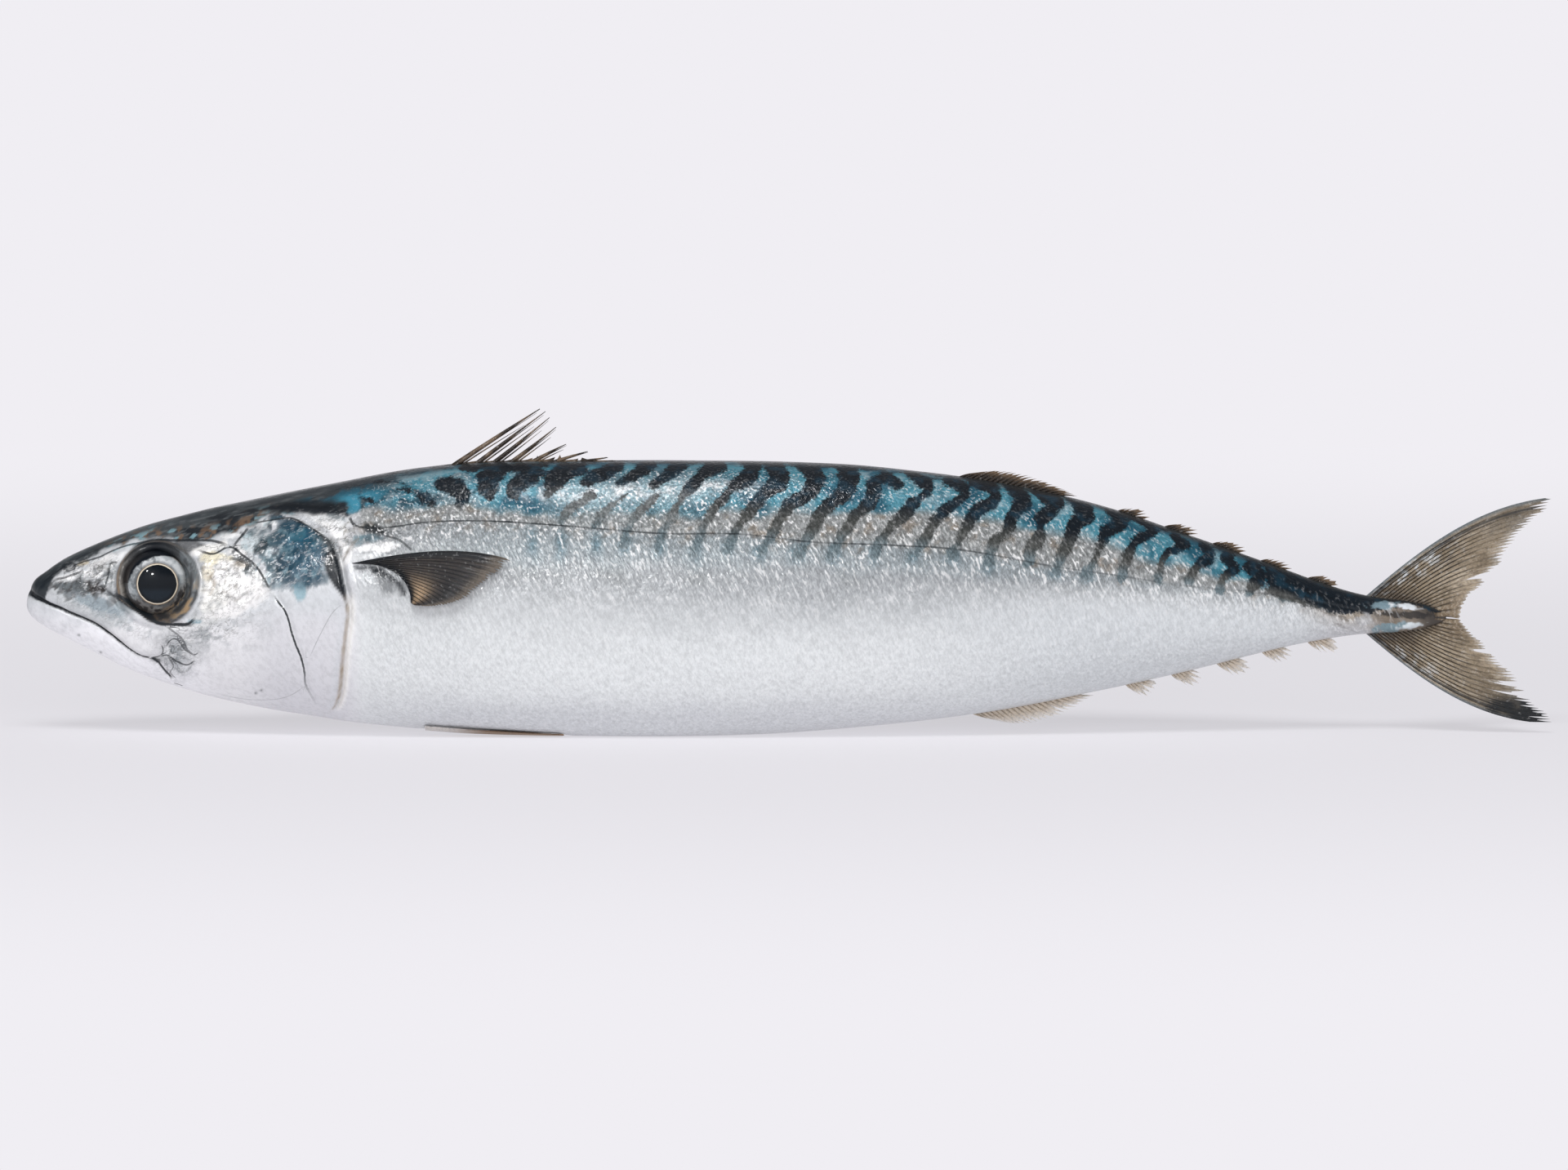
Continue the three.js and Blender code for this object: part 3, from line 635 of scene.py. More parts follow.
class Skin:
    """The fish's skin as a grid of points, its relief, and its colours."""

    SIDES = 288

    def __init__(self):
        self.x = self.rings()
        angles = np.linspace(0, 2 * math.pi, self.SIDES, endpoint=False)
        self.X, self.A = np.meshgrid(self.x, angles, indexing="ij")
        self.Y, self.height = skin_point(self.X, self.A)
        # Markings are placed by the height that they seem to have in the photo's view.
        self.Z = self.height - LOOK_DOWN * np.abs(self.Y)
        self.side = np.where(self.A <= math.pi, -1, 1)
        self.S = self.arc()
        # The right flank's markings are its own: the same kind, moved along a little.
        self.MX = self.X + (self.side > 0) * (3.6 + 1.5 * np.sin(self.X / 21)) * ease(2, 14, self.S)
        self.below = back_at(self.X) - self.height  # how far under the line of the back
        self.relief = np.zeros(self.X.shape)
        self.shade = np.zeros(self.X.shape)
        # Thin lines are drawn by the material from the distance to the nearest one, in half widths of that
        # line, and its strength.
        self.line_gap = np.full(self.X.shape, 3.0)
        self.line = np.full(self.X.shape, 9.0)
        self.ink = np.zeros(self.X.shape)

    def rings(self):
        """Positions of the rings: close together at both ends and on the head."""
        tip = 3 * np.linspace(0, 1, 16)[1:-1] ** 2
        head = np.arange(3, 84, 0.34)
        trunk = np.arange(84, LENGTH - 22, 0.62)
        tail = np.arange(LENGTH - 22, LENGTH - 2, 0.4)
        end = LENGTH - 2 * np.linspace(1, 0, 12)[:-1] ** 2
        return np.concatenate([tip, head, trunk, tail, end])

    def arc(self):
        """Distance along the skin from the middle of the back."""
        half = self.SIDES // 2
        step = np.hypot(np.diff(self.Y[:, : half + 1], axis=1), np.diff(self.height[:, : half + 1], axis=1))
        left = np.concatenate([np.zeros((len(self.x), 1)), np.cumsum(step, axis=1)], axis=1)
        return np.concatenate([left, left[:, -2:0:-1]], axis=1)

    def on_skin(self, points):
        """Turns points (x, z) into (x, s)."""
        half = self.SIDES // 2
        result = []
        for x, z in points:
            i = np.abs(self.x - x).argmin()
            down = np.maximum.accumulate(-self.Z[i, : half + 1])
            result.append((x, float(np.interp(-z, down, self.S[i, : half + 1]))))
        return result

    def along(self, points, reach=12.0):
        """Distance to a curve of points (x, z), measured on the skin, share of its length, and side."""
        return near(self.on_skin(points), self.X, self.S, reach)

    def height_of(self, points):
        """Height of a curve of points (x, z) over the whole grid."""
        return np.interp(self.X, *np.array(points).T)

    def spot(self, x, z, wide, tall):
        """Distance from a point in the side view, 1 on the edge of an oval round it."""
        return np.hypot((self.X - x) / wide, (self.Z - z) / tall)

    # -- Relief --

    def darken(self, mask):
        self.shade = np.maximum(self.shade, mask)

    def draw(self, distance, side, width, strength):
        """Adds a thin dark line that the material draws."""
        nearer = (distance < self.line_gap) & (strength > 0.02)
        self.line_gap = np.where(nearer, distance, self.line_gap)
        self.line = np.where(nearer, side * distance / (width / 2), self.line)
        self.ink = np.where(nearer, strength * ease(1.9, 1.3, distance), self.ink)

    def groove(self, points, depth, width, ends, line=0.0, dark=0.0):
        """A crease that fades out at both ends, with a dark line of painted shade of a width along it."""
        distance, share, side = self.along(points)
        fade = faded(share, ends, ends)
        self.relief -= depth * bell(distance, width) * fade
        if line:
            self.draw(distance, side, line, dark * fade)
        return distance, share, side, fade

    def carve(self):
        self.eye = np.hypot((self.X - EYE_X - 0.4) / 0.97, self.Z - EYE_Z)
        head = 1 - ease(60, 76, self.X)
        self.relief += 0.22 * clouds(self.X, self.S, 14, 3, 2) * head * ease(4, 12, self.X)
        self.relief += 0.18 * clouds(self.X, self.S * 1.5, 24, 9, 2) * (1 - head)
        self.mouth()
        self.plates()
        self.eye_socket()
        self.trunk()

    def mouth(self):
        distance, share, side, fade = self.groove(MOUTH, 0.8, 0.32, 0.02, 0.55, 1.0)
        above = side < 0
        lip, chin = 0.5 * bell(distance - 1.5, 1.6), 0.12 * bell(distance - 2, 1.6)
        self.relief += np.where(above, lip, chin) * fade
        self.darken(0.4 * bell(distance, 0.7) * above * fade * ease(0.3, 0.6, share))
        self.groove(JAW_HINGE, 0.55, 0.5, 0.1, 0.5, 0.95)
        self.groove(MAXILLA_TOP, 0.4, 0.6, 0.15)
        self.groove(MAXILLA_END, 0.35, 0.4, 0.2, 0.3, 0.8)
        nostril = np.hypot(self.X - 10, (self.Z - 38.3) * 1.4)
        self.relief -= 0.7 * bell(nostril, 0.8)
        self.relief += 0.22 * bell(nostril - 1.6, 0.6)
        self.darken(0.9 * bell(nostril - 1.3, 0.5))

    def plates(self):
        distance, share, side = self.along(GILL_EDGE)
        fade = faded(share, 0.12, 0.04)
        before = side > 0
        cover = 0.45 * bell(distance, 6) * ease(-0.1, 0.4, distance)
        slit = -0.9 * bell(distance - 0.5, 0.7)
        self.relief += np.where(before, cover, slit) * fade
        self.gill = (distance, share, before, fade)
        distance, share, side = self.along(CHEEK_PLATE)
        fade = faded(share, 0.12, 0.1)
        raised, sunk = 0.22 * bell(distance, 4), -0.22 * bell(distance - 0.3, 0.4)
        self.relief += np.where(side > 0, raised, sunk) * fade
        # A dark line of painted shade along the plate's sunk edge.
        self.draw(distance, side, 0.36, 0.95 * fade * ease(1, 0.6, share))
        self.groove(GILL_CREASE, 0.1, 0.35, 0.2, 0.24, 0.3)
        self.groove(THROAT_CREASE, 0.14, 0.35, 0.2, 0.24, 0.3)
        # Wrinkles of the thin bright skin on the cheek, the snout and the shoulder.
        wrinkle = 1 - np.abs(clouds(self.X * 1.2 + self.S * 0.5, self.S * 1.4, 4.6, 61, 3)) * 2
        soft = sum(
            ease(1.3, 0.6, self.spot(*oval))
            for oval in ((47, 37, 9, 9), (15, 37, 8, 4), (77, 45, 9, 6), (57, 41, 6, 8))
        )
        self.relief += 0.3 * wrinkle * np.clip(soft, 0, 1) * ease(10.4, 11.5, self.eye)

    def eye_socket(self):
        eye = self.eye
        upper = ease(-3, 6, self.Z - EYE_Z)
        self.relief += (0.55 + 0.35 * upper) * bell(eye - 8.9, 1.0)
        self.relief -= 0.4 * bell(eye - 10.4, 0.6)
        self.relief -= 2.7 * ease(8.3, 7.1, eye) + 2.6 * ease(7.3, 4, eye)

    def trunk(self):
        distance, _, side, fade = self.groove(LATERAL_LINE, 0.14, 0.4, 0.02)
        weight = np.interp(self.X, [75, 118, 160, 213, 262, 300], [0.95, 0.85, 0.7, 0.7, 0.3, 0.3])
        self.draw(distance, side, 0.42, fade * weight * (0.8 + 0.4 * noise(self.X / 3, self.S, 33)))
        self.relief += 0.55 * bell(self.spot(80, 35, 6.5, 4.2), 1)  # round the pectoral fin's root
        # Two small keels on each side of the tail's root, and the fold that the first dorsal fin lies in.
        for z, lean in ((29.3, -0.08), (24.6, 0.12)):
            keel = np.hypot((self.X - 316) / 7, (self.Z - z - lean * (self.X - 316)) / 0.9)
            self.relief += 0.75 * bell(keel, 1)
        self.relief -= 0.5 * bell(self.S, 0.8) * window(self.X, 94, 98, 130, 150)

    # -- Colours --

    def bars(self):
        """How far inside a dark mark of the back each point is, below 0 outside them."""
        wander = 0.5 * noise(self.MX / 3, self.S / 3, 23) + 0.35 * noise(self.MX / 1.2, self.S / 1.2, 24)
        inside = np.full(self.X.shape, -9.0)
        wider = np.interp(
            self.MX, [84, 92, 97, 120, 140, 240, 262], [-0.7, -0.4, 0.4, 0.4, -0.1, -0.2, -0.6]
        )  # fmt: skip
        for points in MARKS:
            distance, share, _ = near([p[:2] for p in points], self.MX, self.Z, 7)
            width = np.interp(share, np.linspace(0, 1, len(points)), [p[2] for p in points])
            inside = np.maximum(inside, width / 2 + wider - distance)
        deep = np.interp(self.X, [60, 84, 150, 225, 262, 300], [-9, 0.35, 0.3, 0.4, 0.6, 1.2])
        inside = np.maximum(inside, deep + 0.5 * noise(self.MX / 5, self.S / 9, 21) - self.below)
        stripe = np.interp(self.X, [283, 292, 300, 308, 316, 322], [32.4, 30, 27.8, 27.6, 29.6, 29.6])
        stripe = np.minimum(np.minimum(self.Z - stripe, (self.X - 284) / 2), 321 - self.X)
        return np.maximum(inside, stripe) + wander

    def colours(self):
        """The colour between the dark marks, their own colour, how metallic the skin is, how it sparkles
        with painted glints.
        """
        X, Z, S, MX = self.X, self.Z, self.S, self.MX
        patch, fine = clouds(MX, S, 7, 30), clouds(MX, S, 2.2, 40)
        light = new_canvas(X, (222, 225, 226))
        # White belly, grey band, blue-grey under the lateral line, silver, and teal towards the back.
        belly = np.interp(X, [75, 100, 150, 180, 220, 262, 290, 326], [30, 29, 27.4, 26, 28, 31, 29, 24])
        flank = ease(belly - 7, belly + 8, Z + 2.6 * patch)
        # Painted shade: the belly grows darker and bluer towards the floor, and the flank is dulled round
        # its middle height, where the lamps light it most.
        paint(
            light,
            ((156, 160, 163), flank * mix(0.85, 1, ease(120, 180, X))),
            ((198, 201, 203), 0.5 * bell(Z - 27, 9) * ease(70, 84, X)),
            ((196, 198, 203), 0.55 * ease(11, 3, Z + patch) * ease(60, 100, X)),
            ((202, 206, 209), 0.8 * ease(190, 250, X) * ease(36, 26, Z)),
            ((146, 150, 150), 0.5 * bell(Z - 36 - patch, 3) * ease(0, 0.6, patch) * ease(260, 200, X)),
        )
        lateral = self.height_of(LATERAL_LINE)
        band = np.interp(X, [110, 144, 181, 219, 256, 275, 290], [39, 38.6, 37.6, 35.6, 33.4, 31.8, 31])
        paint(
            light,
            ((160, 169, 173), 0.85 * ease(band - 2, band + 3, Z + 1.4 * patch) * ease(84, 110, X)),
            ((160, 163, 163), ease(lateral - 1.5, lateral + 1, Z + patch)),
            ((150, 130, 106), 0.5 * ease(lateral - 4, lateral, Z) * ease(0.25, 0.7, fine)),
        )
        teal_foot = self.height_of(TEAL_FOOT)
        teal = ease(teal_foot - 1.6, teal_foot + 1.4, Z + 1.8 * patch)
        front = ease(112, 98, X) * ease(-0.05, 0.3, clouds(MX, S, 3.2, 44))
        paint(
            light,
            ((84, 148, 166), teal),
            ((30, 56, 70), teal * front * 0.9),
            ((30, 52, 64), teal * ease(90, 70, X) * 0.5),
            ((40, 94, 114), teal * ease(-0.15, 0.6, patch + 0.5 * fine)),
        )
        # Painted highlight: a pale sheen where the lamps shine on the upper flank, with paler teal spots,
        # and a broken white streak of painted highlight along it.
        sheen_and_pale_teal = window(X, 116, 126, 150, 166) * bell(Z - np.interp(X, [116, 166], [53.6, 57]), 4)
        sheen_and_pale_teal = np.maximum(sheen_and_pale_teal * 0.8, teal * ease(0.1, 0.7, fine - patch) * 0.5)
        paint(light, ((168, 192, 200), sheen_and_pale_teal))
        streak = bell(Z - np.interp(X, [112, 125, 145, 168], [54.6, 55.4, 56.2, 57.4]), 1.3)
        paint(light, ((232, 236, 238), streak * window(X, 112, 120, 158, 172) * ease(-0.3, 0.3, fine)))
        low = np.interp(X, [60, 84, 118, 150, 180, 240, 262, 300], [0.8, 0.6, 0.5, 0.3, 0.3, 0.5, 1.2, 1.6])
        ridge = 0.9 * ease(low + 0.8, low - 0.9, self.below + 0.7 * patch) * ease(66, 84, X)
        # Dark along the ridge of the back, with a thin lighter grey line right on top that is a painted
        # highlight.
        paint(
            light,
            ((46, 66, 77), ridge),
            ((92, 98, 100), ridge * ease(0.9, 0.2, self.below) * 0.6),
        )
        for x, z, wide, tall in BAR_FEET:
            foot = np.hypot((MX - x) / wide, (Z - z) / tall) + 0.35 * clouds(MX, S, 2, 50)
            paint(light, ((84, 124, 138), 0.7 * bell(foot, 0.9)))
        dark = self.mark_colours(fine)
        metal = 0.5 * ease(belly - 4, belly + 8, Z)
        # How strongly the material paints the scales' texture and their glints, which are painted
        # highlights; most where the lamps' sheen lies.
        sparkle = 0.22 + 0.3 * ease(belly - 2, belly + 8, Z) + 0.44 * ease(lateral - 8, lateral, Z)
        glint_weight = np.interp(X, [84, 118, 125, 160, 175, 300], [0.5, 0.7, 1.2, 1.2, 0.7, 0.5])
        sparkle *= mix(1, glint_weight, teal)
        sparkle *= ease(0.8, 2.4, self.below)
        self.head(light, metal, sparkle)
        self.tail_root(light, dark)
        for canvas in (light, dark):
            paint(canvas, ((24, 30, 35), 0.95 * self.shade))
        return light, dark, metal, sparkle

    def mark_colours(self, fine):
        """Marks are near black on the back, brown-grey down the flank, and fade out in teal feet."""
        X, Z = self.X, self.Z
        full, foot = self.height_of(MARKS_FULL), self.height_of(MARKS_FOOT)
        down = np.clip((full - Z) / (full - foot), 0, 1.2)
        dark = new_canvas(X, (20, 29, 37))
        paint(
            dark,
            ((84, 86, 84), ease(0, 0.45, down)),
            ((124, 130, 131), 0.8 * ease(0.1, 0.5, down + 0.2 * fine) * ease(164, 146, X)),
            ((108, 124, 130), ease(0.5, 0.85, down)),
            ((146, 156, 160), ease(0.95, 1.15, down)),
            ((28, 62, 80), ease(0.0, 0.6, fine) * ease(0.3, 0, down) * 0.6),
            # Painted highlight: the marks turn lighter right at the top of the back.
            ((54, 58, 60), ease(0.7, 0.1, self.below) * 0.8),
        )
        return dark

    def dab(self, canvas, colour, x, z, wide, tall, turn, strength, ragged=0.35, size=2.4):
        """A soft patch of colour with a ragged edge. turn tips it, in degrees, up towards the tail."""
        c, s = math.cos(math.radians(turn)), math.sin(math.radians(turn))
        dx, dz = self.X - x, self.Z - z
        along, across = (dx * c + dz * s) / wide, (dz * c - dx * s) / tall
        reach = np.hypot(along, across) + ragged * clouds(self.X, self.S, size, int(x * 7 + z) % 97)
        paint(canvas, (colour, strength * ease(1.3, 0.75, reach)))

    def head(self, light, metal, sparkle):
        X, Z, S = self.X, self.Z, self.S
        patch, fine = clouds(X, S, 5, 60), clouds(X, S, 1.6, 70)
        head = ease(78, 72, X)
        paint(light, ((226, 226, 228), head), ((210, 210, 214), ease(46, 60, X) * head))
        metal *= 1 - head
        sparkle *= 1 - head
        mouth = self.height_of(MOUTH)
        paint(light, ((246, 246, 249), ease(46, 34, X) * ease(mouth, mouth - 0.6, Z)))
        silver = ease(23, 30, Z + 2 * patch) * head
        paint(light, ((204, 207, 210), silver))
        metal += 0.4 * silver
        sparkle += silver * 0.75
        self.wrinkles(light)
        for dab in DABS:
            self.dab(light, *dab)
        distance, share, before, fade = self.gill
        cover, shoulder = light.copy(), light.copy()
        for dab in COVER_DABS:
            self.dab(cover, *dab, 0.7, 3)
        for dab in SHOULDER_DABS:
            self.dab(shoulder, *dab, 0.5, 1.8)
        patchy = (cover != light).any(-1) * ease(70.5, 67, X) * ease(31, 36, Z)
        self.grain = 0.36 * patchy
        fleck, pit = clouds(X, Z, 1.3, 85, 3), clouds(X, Z, 1.7, 95, 3)
        paint(
            cover,
            ((20, 36, 46), 0.75 * ease(0.12, 0.45, pit) * patchy),
            ((18, 62, 82), 0.8 * patchy * ease(54, 60, X)),
            ((150, 186, 196), 0.25 * ease(0.28, 0.5, fleck) * patchy),
        )
        wedge = np.interp(Z, [30.2, 33, 36, 39, 42, 46], [0.1, 1.5, 2.9, 3.1, 1.6, 0.2]) + 0.4 * patch
        wedge = ease(wedge + 0.4, wedge - 0.4, distance) * (Z > 29.5) * (Z < 47)
        paint(cover, ((16, 21, 27), 0.97 * wedge))
        on_cover = (X < 76) & ((distance > 11) & (X < 70) | (distance <= 11) & before)
        light[:] = np.where(on_cover[..., None], cover, shoulder)
        self.cheek(light)
        self.crown(light, metal, sparkle, patch, fine)
        for colour, width, strength, points in STROKES:
            gap, along, side = self.along(points, 4)
            taper = faded(along, 0.12, 0.12)
            if sum(colour) < DARK and width < THIN:
                self.draw(gap, side, width, strength * taper)
            else:
                line = bell(gap + 0.3 * fine, width * 0.5 * (0.35 + 0.65 * taper))
                paint(light, (colour, strength * line))
        self.eye_ring(light, fine)
        sparkle *= 1 - ease(10.6, 9.8, self.eye)
        low = ease(0.5, 0.56, share) * fade
        paint(
            light,
            # Painted shade on the cover's edge beside the slit.
            ((204, 206, 210), 0.7 * bell(distance - 1, 0.9) * low * before),
            ((248, 247, 244), 0.8 * bell(distance - 1.2, 0.7) * low * ~before),
            ((158, 140, 116), 0.8 * bell(distance - 0.1, 0.32) * low * (0.75 + 0.5 * fine)),
        )
        for x, z in ((52.7, 9.3), (54, 10), (17, 18.6), (12, 22.6)):
            paint(light, ((80, 84, 86), 0.8 * bell(np.hypot(X - x, Z - z), 0.3)))

    def wrinkles(self, light):
        """The creased grey skin behind the corner of the mouth, and faint creases over the cheek."""
        X, Z = self.X, self.Z
        vein = bell(clouds(X, Z, 3.2, 66, 3), 0.1)
        loose = bell(self.spot(34.5, 18, 4.2, 4.4) + 0.3 * clouds(X, Z, 3, 67), 0.95)
        under_cheek = bell(self.spot(43, 23, 9, 4), 1)
        paint(
            light,
            ((128, 135, 138), loose * 0.85),
            # The dark veins are painted shade in the creases.
            ((52, 60, 64), loose * vein * 0.95),
            ((236, 237, 238), loose * ease(0.2, 0.5, clouds(X, Z, 1.8, 68)) * 0.8),
            ((150, 155, 158), under_cheek * ease(0, 0.4, clouds(X * 0.7, Z, 1.8, 69)) * 0.8),
        )

    def cheek(self, light):
        """Fine dark and bright creases in the bright plate behind the eye and in front of it, the dark ones
        painted shade.
        """
        X, Z = self.X, self.Z
        off_eye = ease(10, 10.8, self.eye)
        plate = bell(self.spot(46, 35, 9, 8), 1) + bell(self.spot(15, 37.6, 6, 2.6), 1)
        plate += 1.4 * bell(self.spot(71.5, 46, 4.5, 5), 1)
        plate *= off_eye
        snout = bell(self.spot(14, 36.4, 8, 4), 1) * ease(6, 9, X) * off_eye
        loose = bell(self.spot(35, 18.4, 4.6, 4.8), 1) + 0.6 * bell(self.spot(44, 24, 8, 3), 1)
        snout *= ease(-0.6, 0.3, Z - self.height_of(MOUTH) - 1)
        self.grain = np.clip(self.grain + 0.9 * plate + snout + 0.9 * loose, 0, 1) * ease(96, 84, X)
        lores = bell(self.spot(16, 35, 7, 4.4), 1) * off_eye
        lip = bell(Z - np.interp(X, [4, 17, 28], [32.4, 28.4, 22.6]), 2.2) * window(X, 5, 8, 27, 31)
        self.grain = np.maximum(self.grain, 0.4 * lip)
        paint(
            light,
            ((112, 120, 124), lores * ease(-0.1, 0.35, clouds(X * 0.6, Z, 2.4, 77)) * 0.9),
            ((58, 60, 62), lores * bell(clouds(X * 0.5, Z, 2.2, 78, 3), 0.1) * 0.8),
            ((136, 132, 124), plate * bell(clouds(X * 0.7, Z, 2.6, 75, 3), 0.09) * 0.8),
            ((120, 128, 132), plate * ease(0.25, 0.6, clouds(X * 0.6, Z, 2, 76)) * 0.7),
        )

    def crown(self, light, metal, sparkle, patch, fine):
        """Top of the head: dark, streaked lengthwise."""
        X, Z, S = self.X, self.Z, self.S
        streak, thin = clouds(X / 4, S, 1.6, 80), clouds(X / 3, S, 0.8, 81)
        top = self.height_of(CROWN_EDGE)
        crown = ease(top - 0.5, top + 0.6, Z + 0.8 * patch + 0.4 * fine) * ease(88, 76, X)
        self.grain *= 1 - 0.75 * crown
        crown *= ease(-1, 0.3, Z - self.height_of(MOUTH))
        rim = ease(top + 4, top + 0.6, Z) * window(X, 14, 24, 50, 60)
        teal = crown * ease(58, 70, X) * ease(52.6, 54.4, Z) * ease(0.6, 2, self.below)
        paint(
            light,
            ((66, 71, 74), crown),
            ((24, 29, 35), crown * ease(-0.1, 0.3, streak + 0.3 * patch) * 0.85),
            ((98, 102, 104), crown * ease(0.15, 0.5, thin - 0.4 * streak) * 0.75),
            ((122, 98, 78), crown * ease(0.05, 0.4, fine) * rim * 0.8),
            ((132, 168, 178), crown * ease(0.2, 0.5, clouds(X / 2, S, 1.2, 82)) * rim * 0.8),
            ((74, 82, 86), crown * ease(1.6, 0.4, self.below) * 0.5),
            ((40, 48, 54), crown * ease(56, 72, X) * 0.5),
            ((26, 34, 40), ease(8, 3, X) * crown * 0.85),
            ((40, 88, 106), teal * ease(-0.2, 0.2, patch)),
            ((64, 140, 164), crown * ease(70, 74, X) * ease(-0.3, 0.1, patch) * ease(2, 3.4, self.below)),
            ((16, 22, 28), window(X, 54, 60, 70, 76) * bell(Z - 52 - 0.6 * patch, 1.5)),
        )
        metal *= 1 - 0.7 * crown
        sparkle *= 1 - 0.6 * crown

    def eye_ring(self, light, fine):
        """The brown and grey ring of thick clear skin round the eye, with painted shade and a painted
        highlight.
        """
        X, Z = self.X, self.Z
        reach = np.hypot((X - EYE_X - 0.5) / 0.95, Z - EYE_Z - 0.4) + 0.12 * fine
        turn = np.arctan2(Z - EYE_Z, X - EYE_X)
        streak = clouds(turn * 3.5 + 40, reach + 40, 0.7, 87)
        lid = np.interp(X, [15, 18, 20, 24, 28, 31, 38, 41], [36, 33.4, 31.7, 29, 26.3, 25.2, 25, 27])
        ring = ease(10.2, 9.8, reach) * ease(-0.3, 0.2, Z - lid)
        left, top, bottom = bell(np.abs(turn) - 3.14, 0.8), bell(turn - 1.6, 0.75), bell(turn + 1.75, 0.75)
        paint(
            light,
            ((92, 96, 98), ring),
            ((122, 130, 134), ring * bell(turn - 0.35, 0.6)),
            ((128, 124, 118), ring * left),
            ((46, 43, 42), ring * ease(-0.1, 0.3, streak) * 0.65),
            ((160, 136, 104), ring * ease(0, 0.4, -streak) * bell(turn + 0.7, 0.65)),
            # Painted shade under the upper lid.
            ((18, 23, 29), ring * top * ease(9.3, 8.9, reach)),
            ((104, 92, 80), ring * top * bell(reach - 9.6, 0.3)),
            ((36, 36, 38), ring * bottom * 0.85),
            ((112, 94, 76), ring * bottom * bell(reach - 8.6 - streak, 0.35) * 0.8),
            # Painted shadow where the skin dips into the socket at the left.
            ((30, 31, 34), ring * left * bell(reach - 8.1, 0.35) * 0.9),
            ((146, 122, 94), ring * left * bell(reach - 9.7, 0.22) * 0.9),
            ((22, 26, 31), 0.9 * bell(reach - 10.1, 0.28) * np.maximum(0.45, top) * (Z > lid)),
            ((22, 26, 31), 0.95 * bell(Z - lid, 0.3) * window(X, 16, 20, 37, 40)),
            # Painted highlight just under the lid's dark line.
            ((236, 238, 238), 0.8 * bell(Z - lid + 0.85, 0.35) * window(X, 22, 26, 35, 38)),
        )

    def tail_root(self, light, dark):
        """The brown and silver stalk of the tail."""
        patch = clouds(self.X, self.S, 4, 110)
        stalk = ease(290, 304, self.X)
        middle = np.interp(self.X, [284, 300, 326], [30, 27.4, 26.6])
        streak = clouds(self.X / 5, self.S, 0.9, 112)
        paint(
            light,
            ((196, 196, 199), stalk * 0.8),
            ((158, 146, 128), stalk * bell(self.Z - middle, 2) * (0.7 + 0.5 * patch)),
            ((112, 106, 98), stalk * ease(0.1, 0.5, streak) * bell(self.Z - middle, 3)),
            ((168, 166, 164), ease(300, 312, self.X) * 0.5 * (1 + patch) / 2),
            ((112, 100, 86), ease(307, 313, self.X + patch) * 0.85),
            ((52, 48, 46), ease(318, 323, self.X + 1.5 * patch) * 0.85),
        )
        for canvas in (light, dark):
            for dab in KEEL_DABS:
                self.dab(canvas, *dab, 0.7, 1.2)

    # -- The piece --

    def build(self):
        self.carve()
        light, dark, metal, sparkle = self.colours()
        points = np.stack([self.X, self.Y, self.height], -1)
        along = np.gradient(points, self.x, axis=0)
        around = (np.roll(points, -1, axis=1) - np.roll(points, 1, axis=1)) / 2
        normal = np.cross(around, along)
        normal /= np.linalg.norm(normal, axis=-1, keepdims=True)
        outward = np.sign((normal[..., 1] * self.Y).sum())
        points += normal * outward * self.relief[..., None]
        bed = 0.55 * window(self.X, 89, 93, 121, 126)
        bed = bed * bell(np.minimum(self.A, 2 * math.pi - self.A) - math.radians(166), math.radians(10))
        points[..., 2] = settled(points[..., 2] + bed, bed)
        scales = window(self.X, 70, 84, 300, 322)
        values = {"light": light, "dark": dark, "bars": self.bars(), "metal": metal, "scales": scales}
        values["sparkle"] = sparkle * scales
        values |= {"line": self.line, "ink": self.ink, "grain": self.grain}
        return self.mesh(points, values)

    def mesh(self, points, attributes):
        rows, columns = self.X.shape
        flat = points.reshape(-1, 3)
        ends = [[0, 0, MIDDLE(0) * DEPTH - SAG], [LENGTH, 0, MIDDLE(1) * DEPTH - SAG]]
        faces = grid_faces(rows, columns, closed=True)[:, ::-1].tolist()
        first, last = len(flat), len(flat) + 1
        faces += [[first, j, (j + 1) % columns] for j in range(columns)]
        base = (rows - 1) * columns
        faces += [[last, base + (j + 1) % columns, base + j] for j in range(columns)]
        full = {}
        for key, values in attributes.items():
            values = values.reshape(len(flat), *values.shape[2:])
            full[key] = np.concatenate([values, values[:1], values[-1:]])
        return new_object("skin", np.vstack([flat, ends]), faces, full)


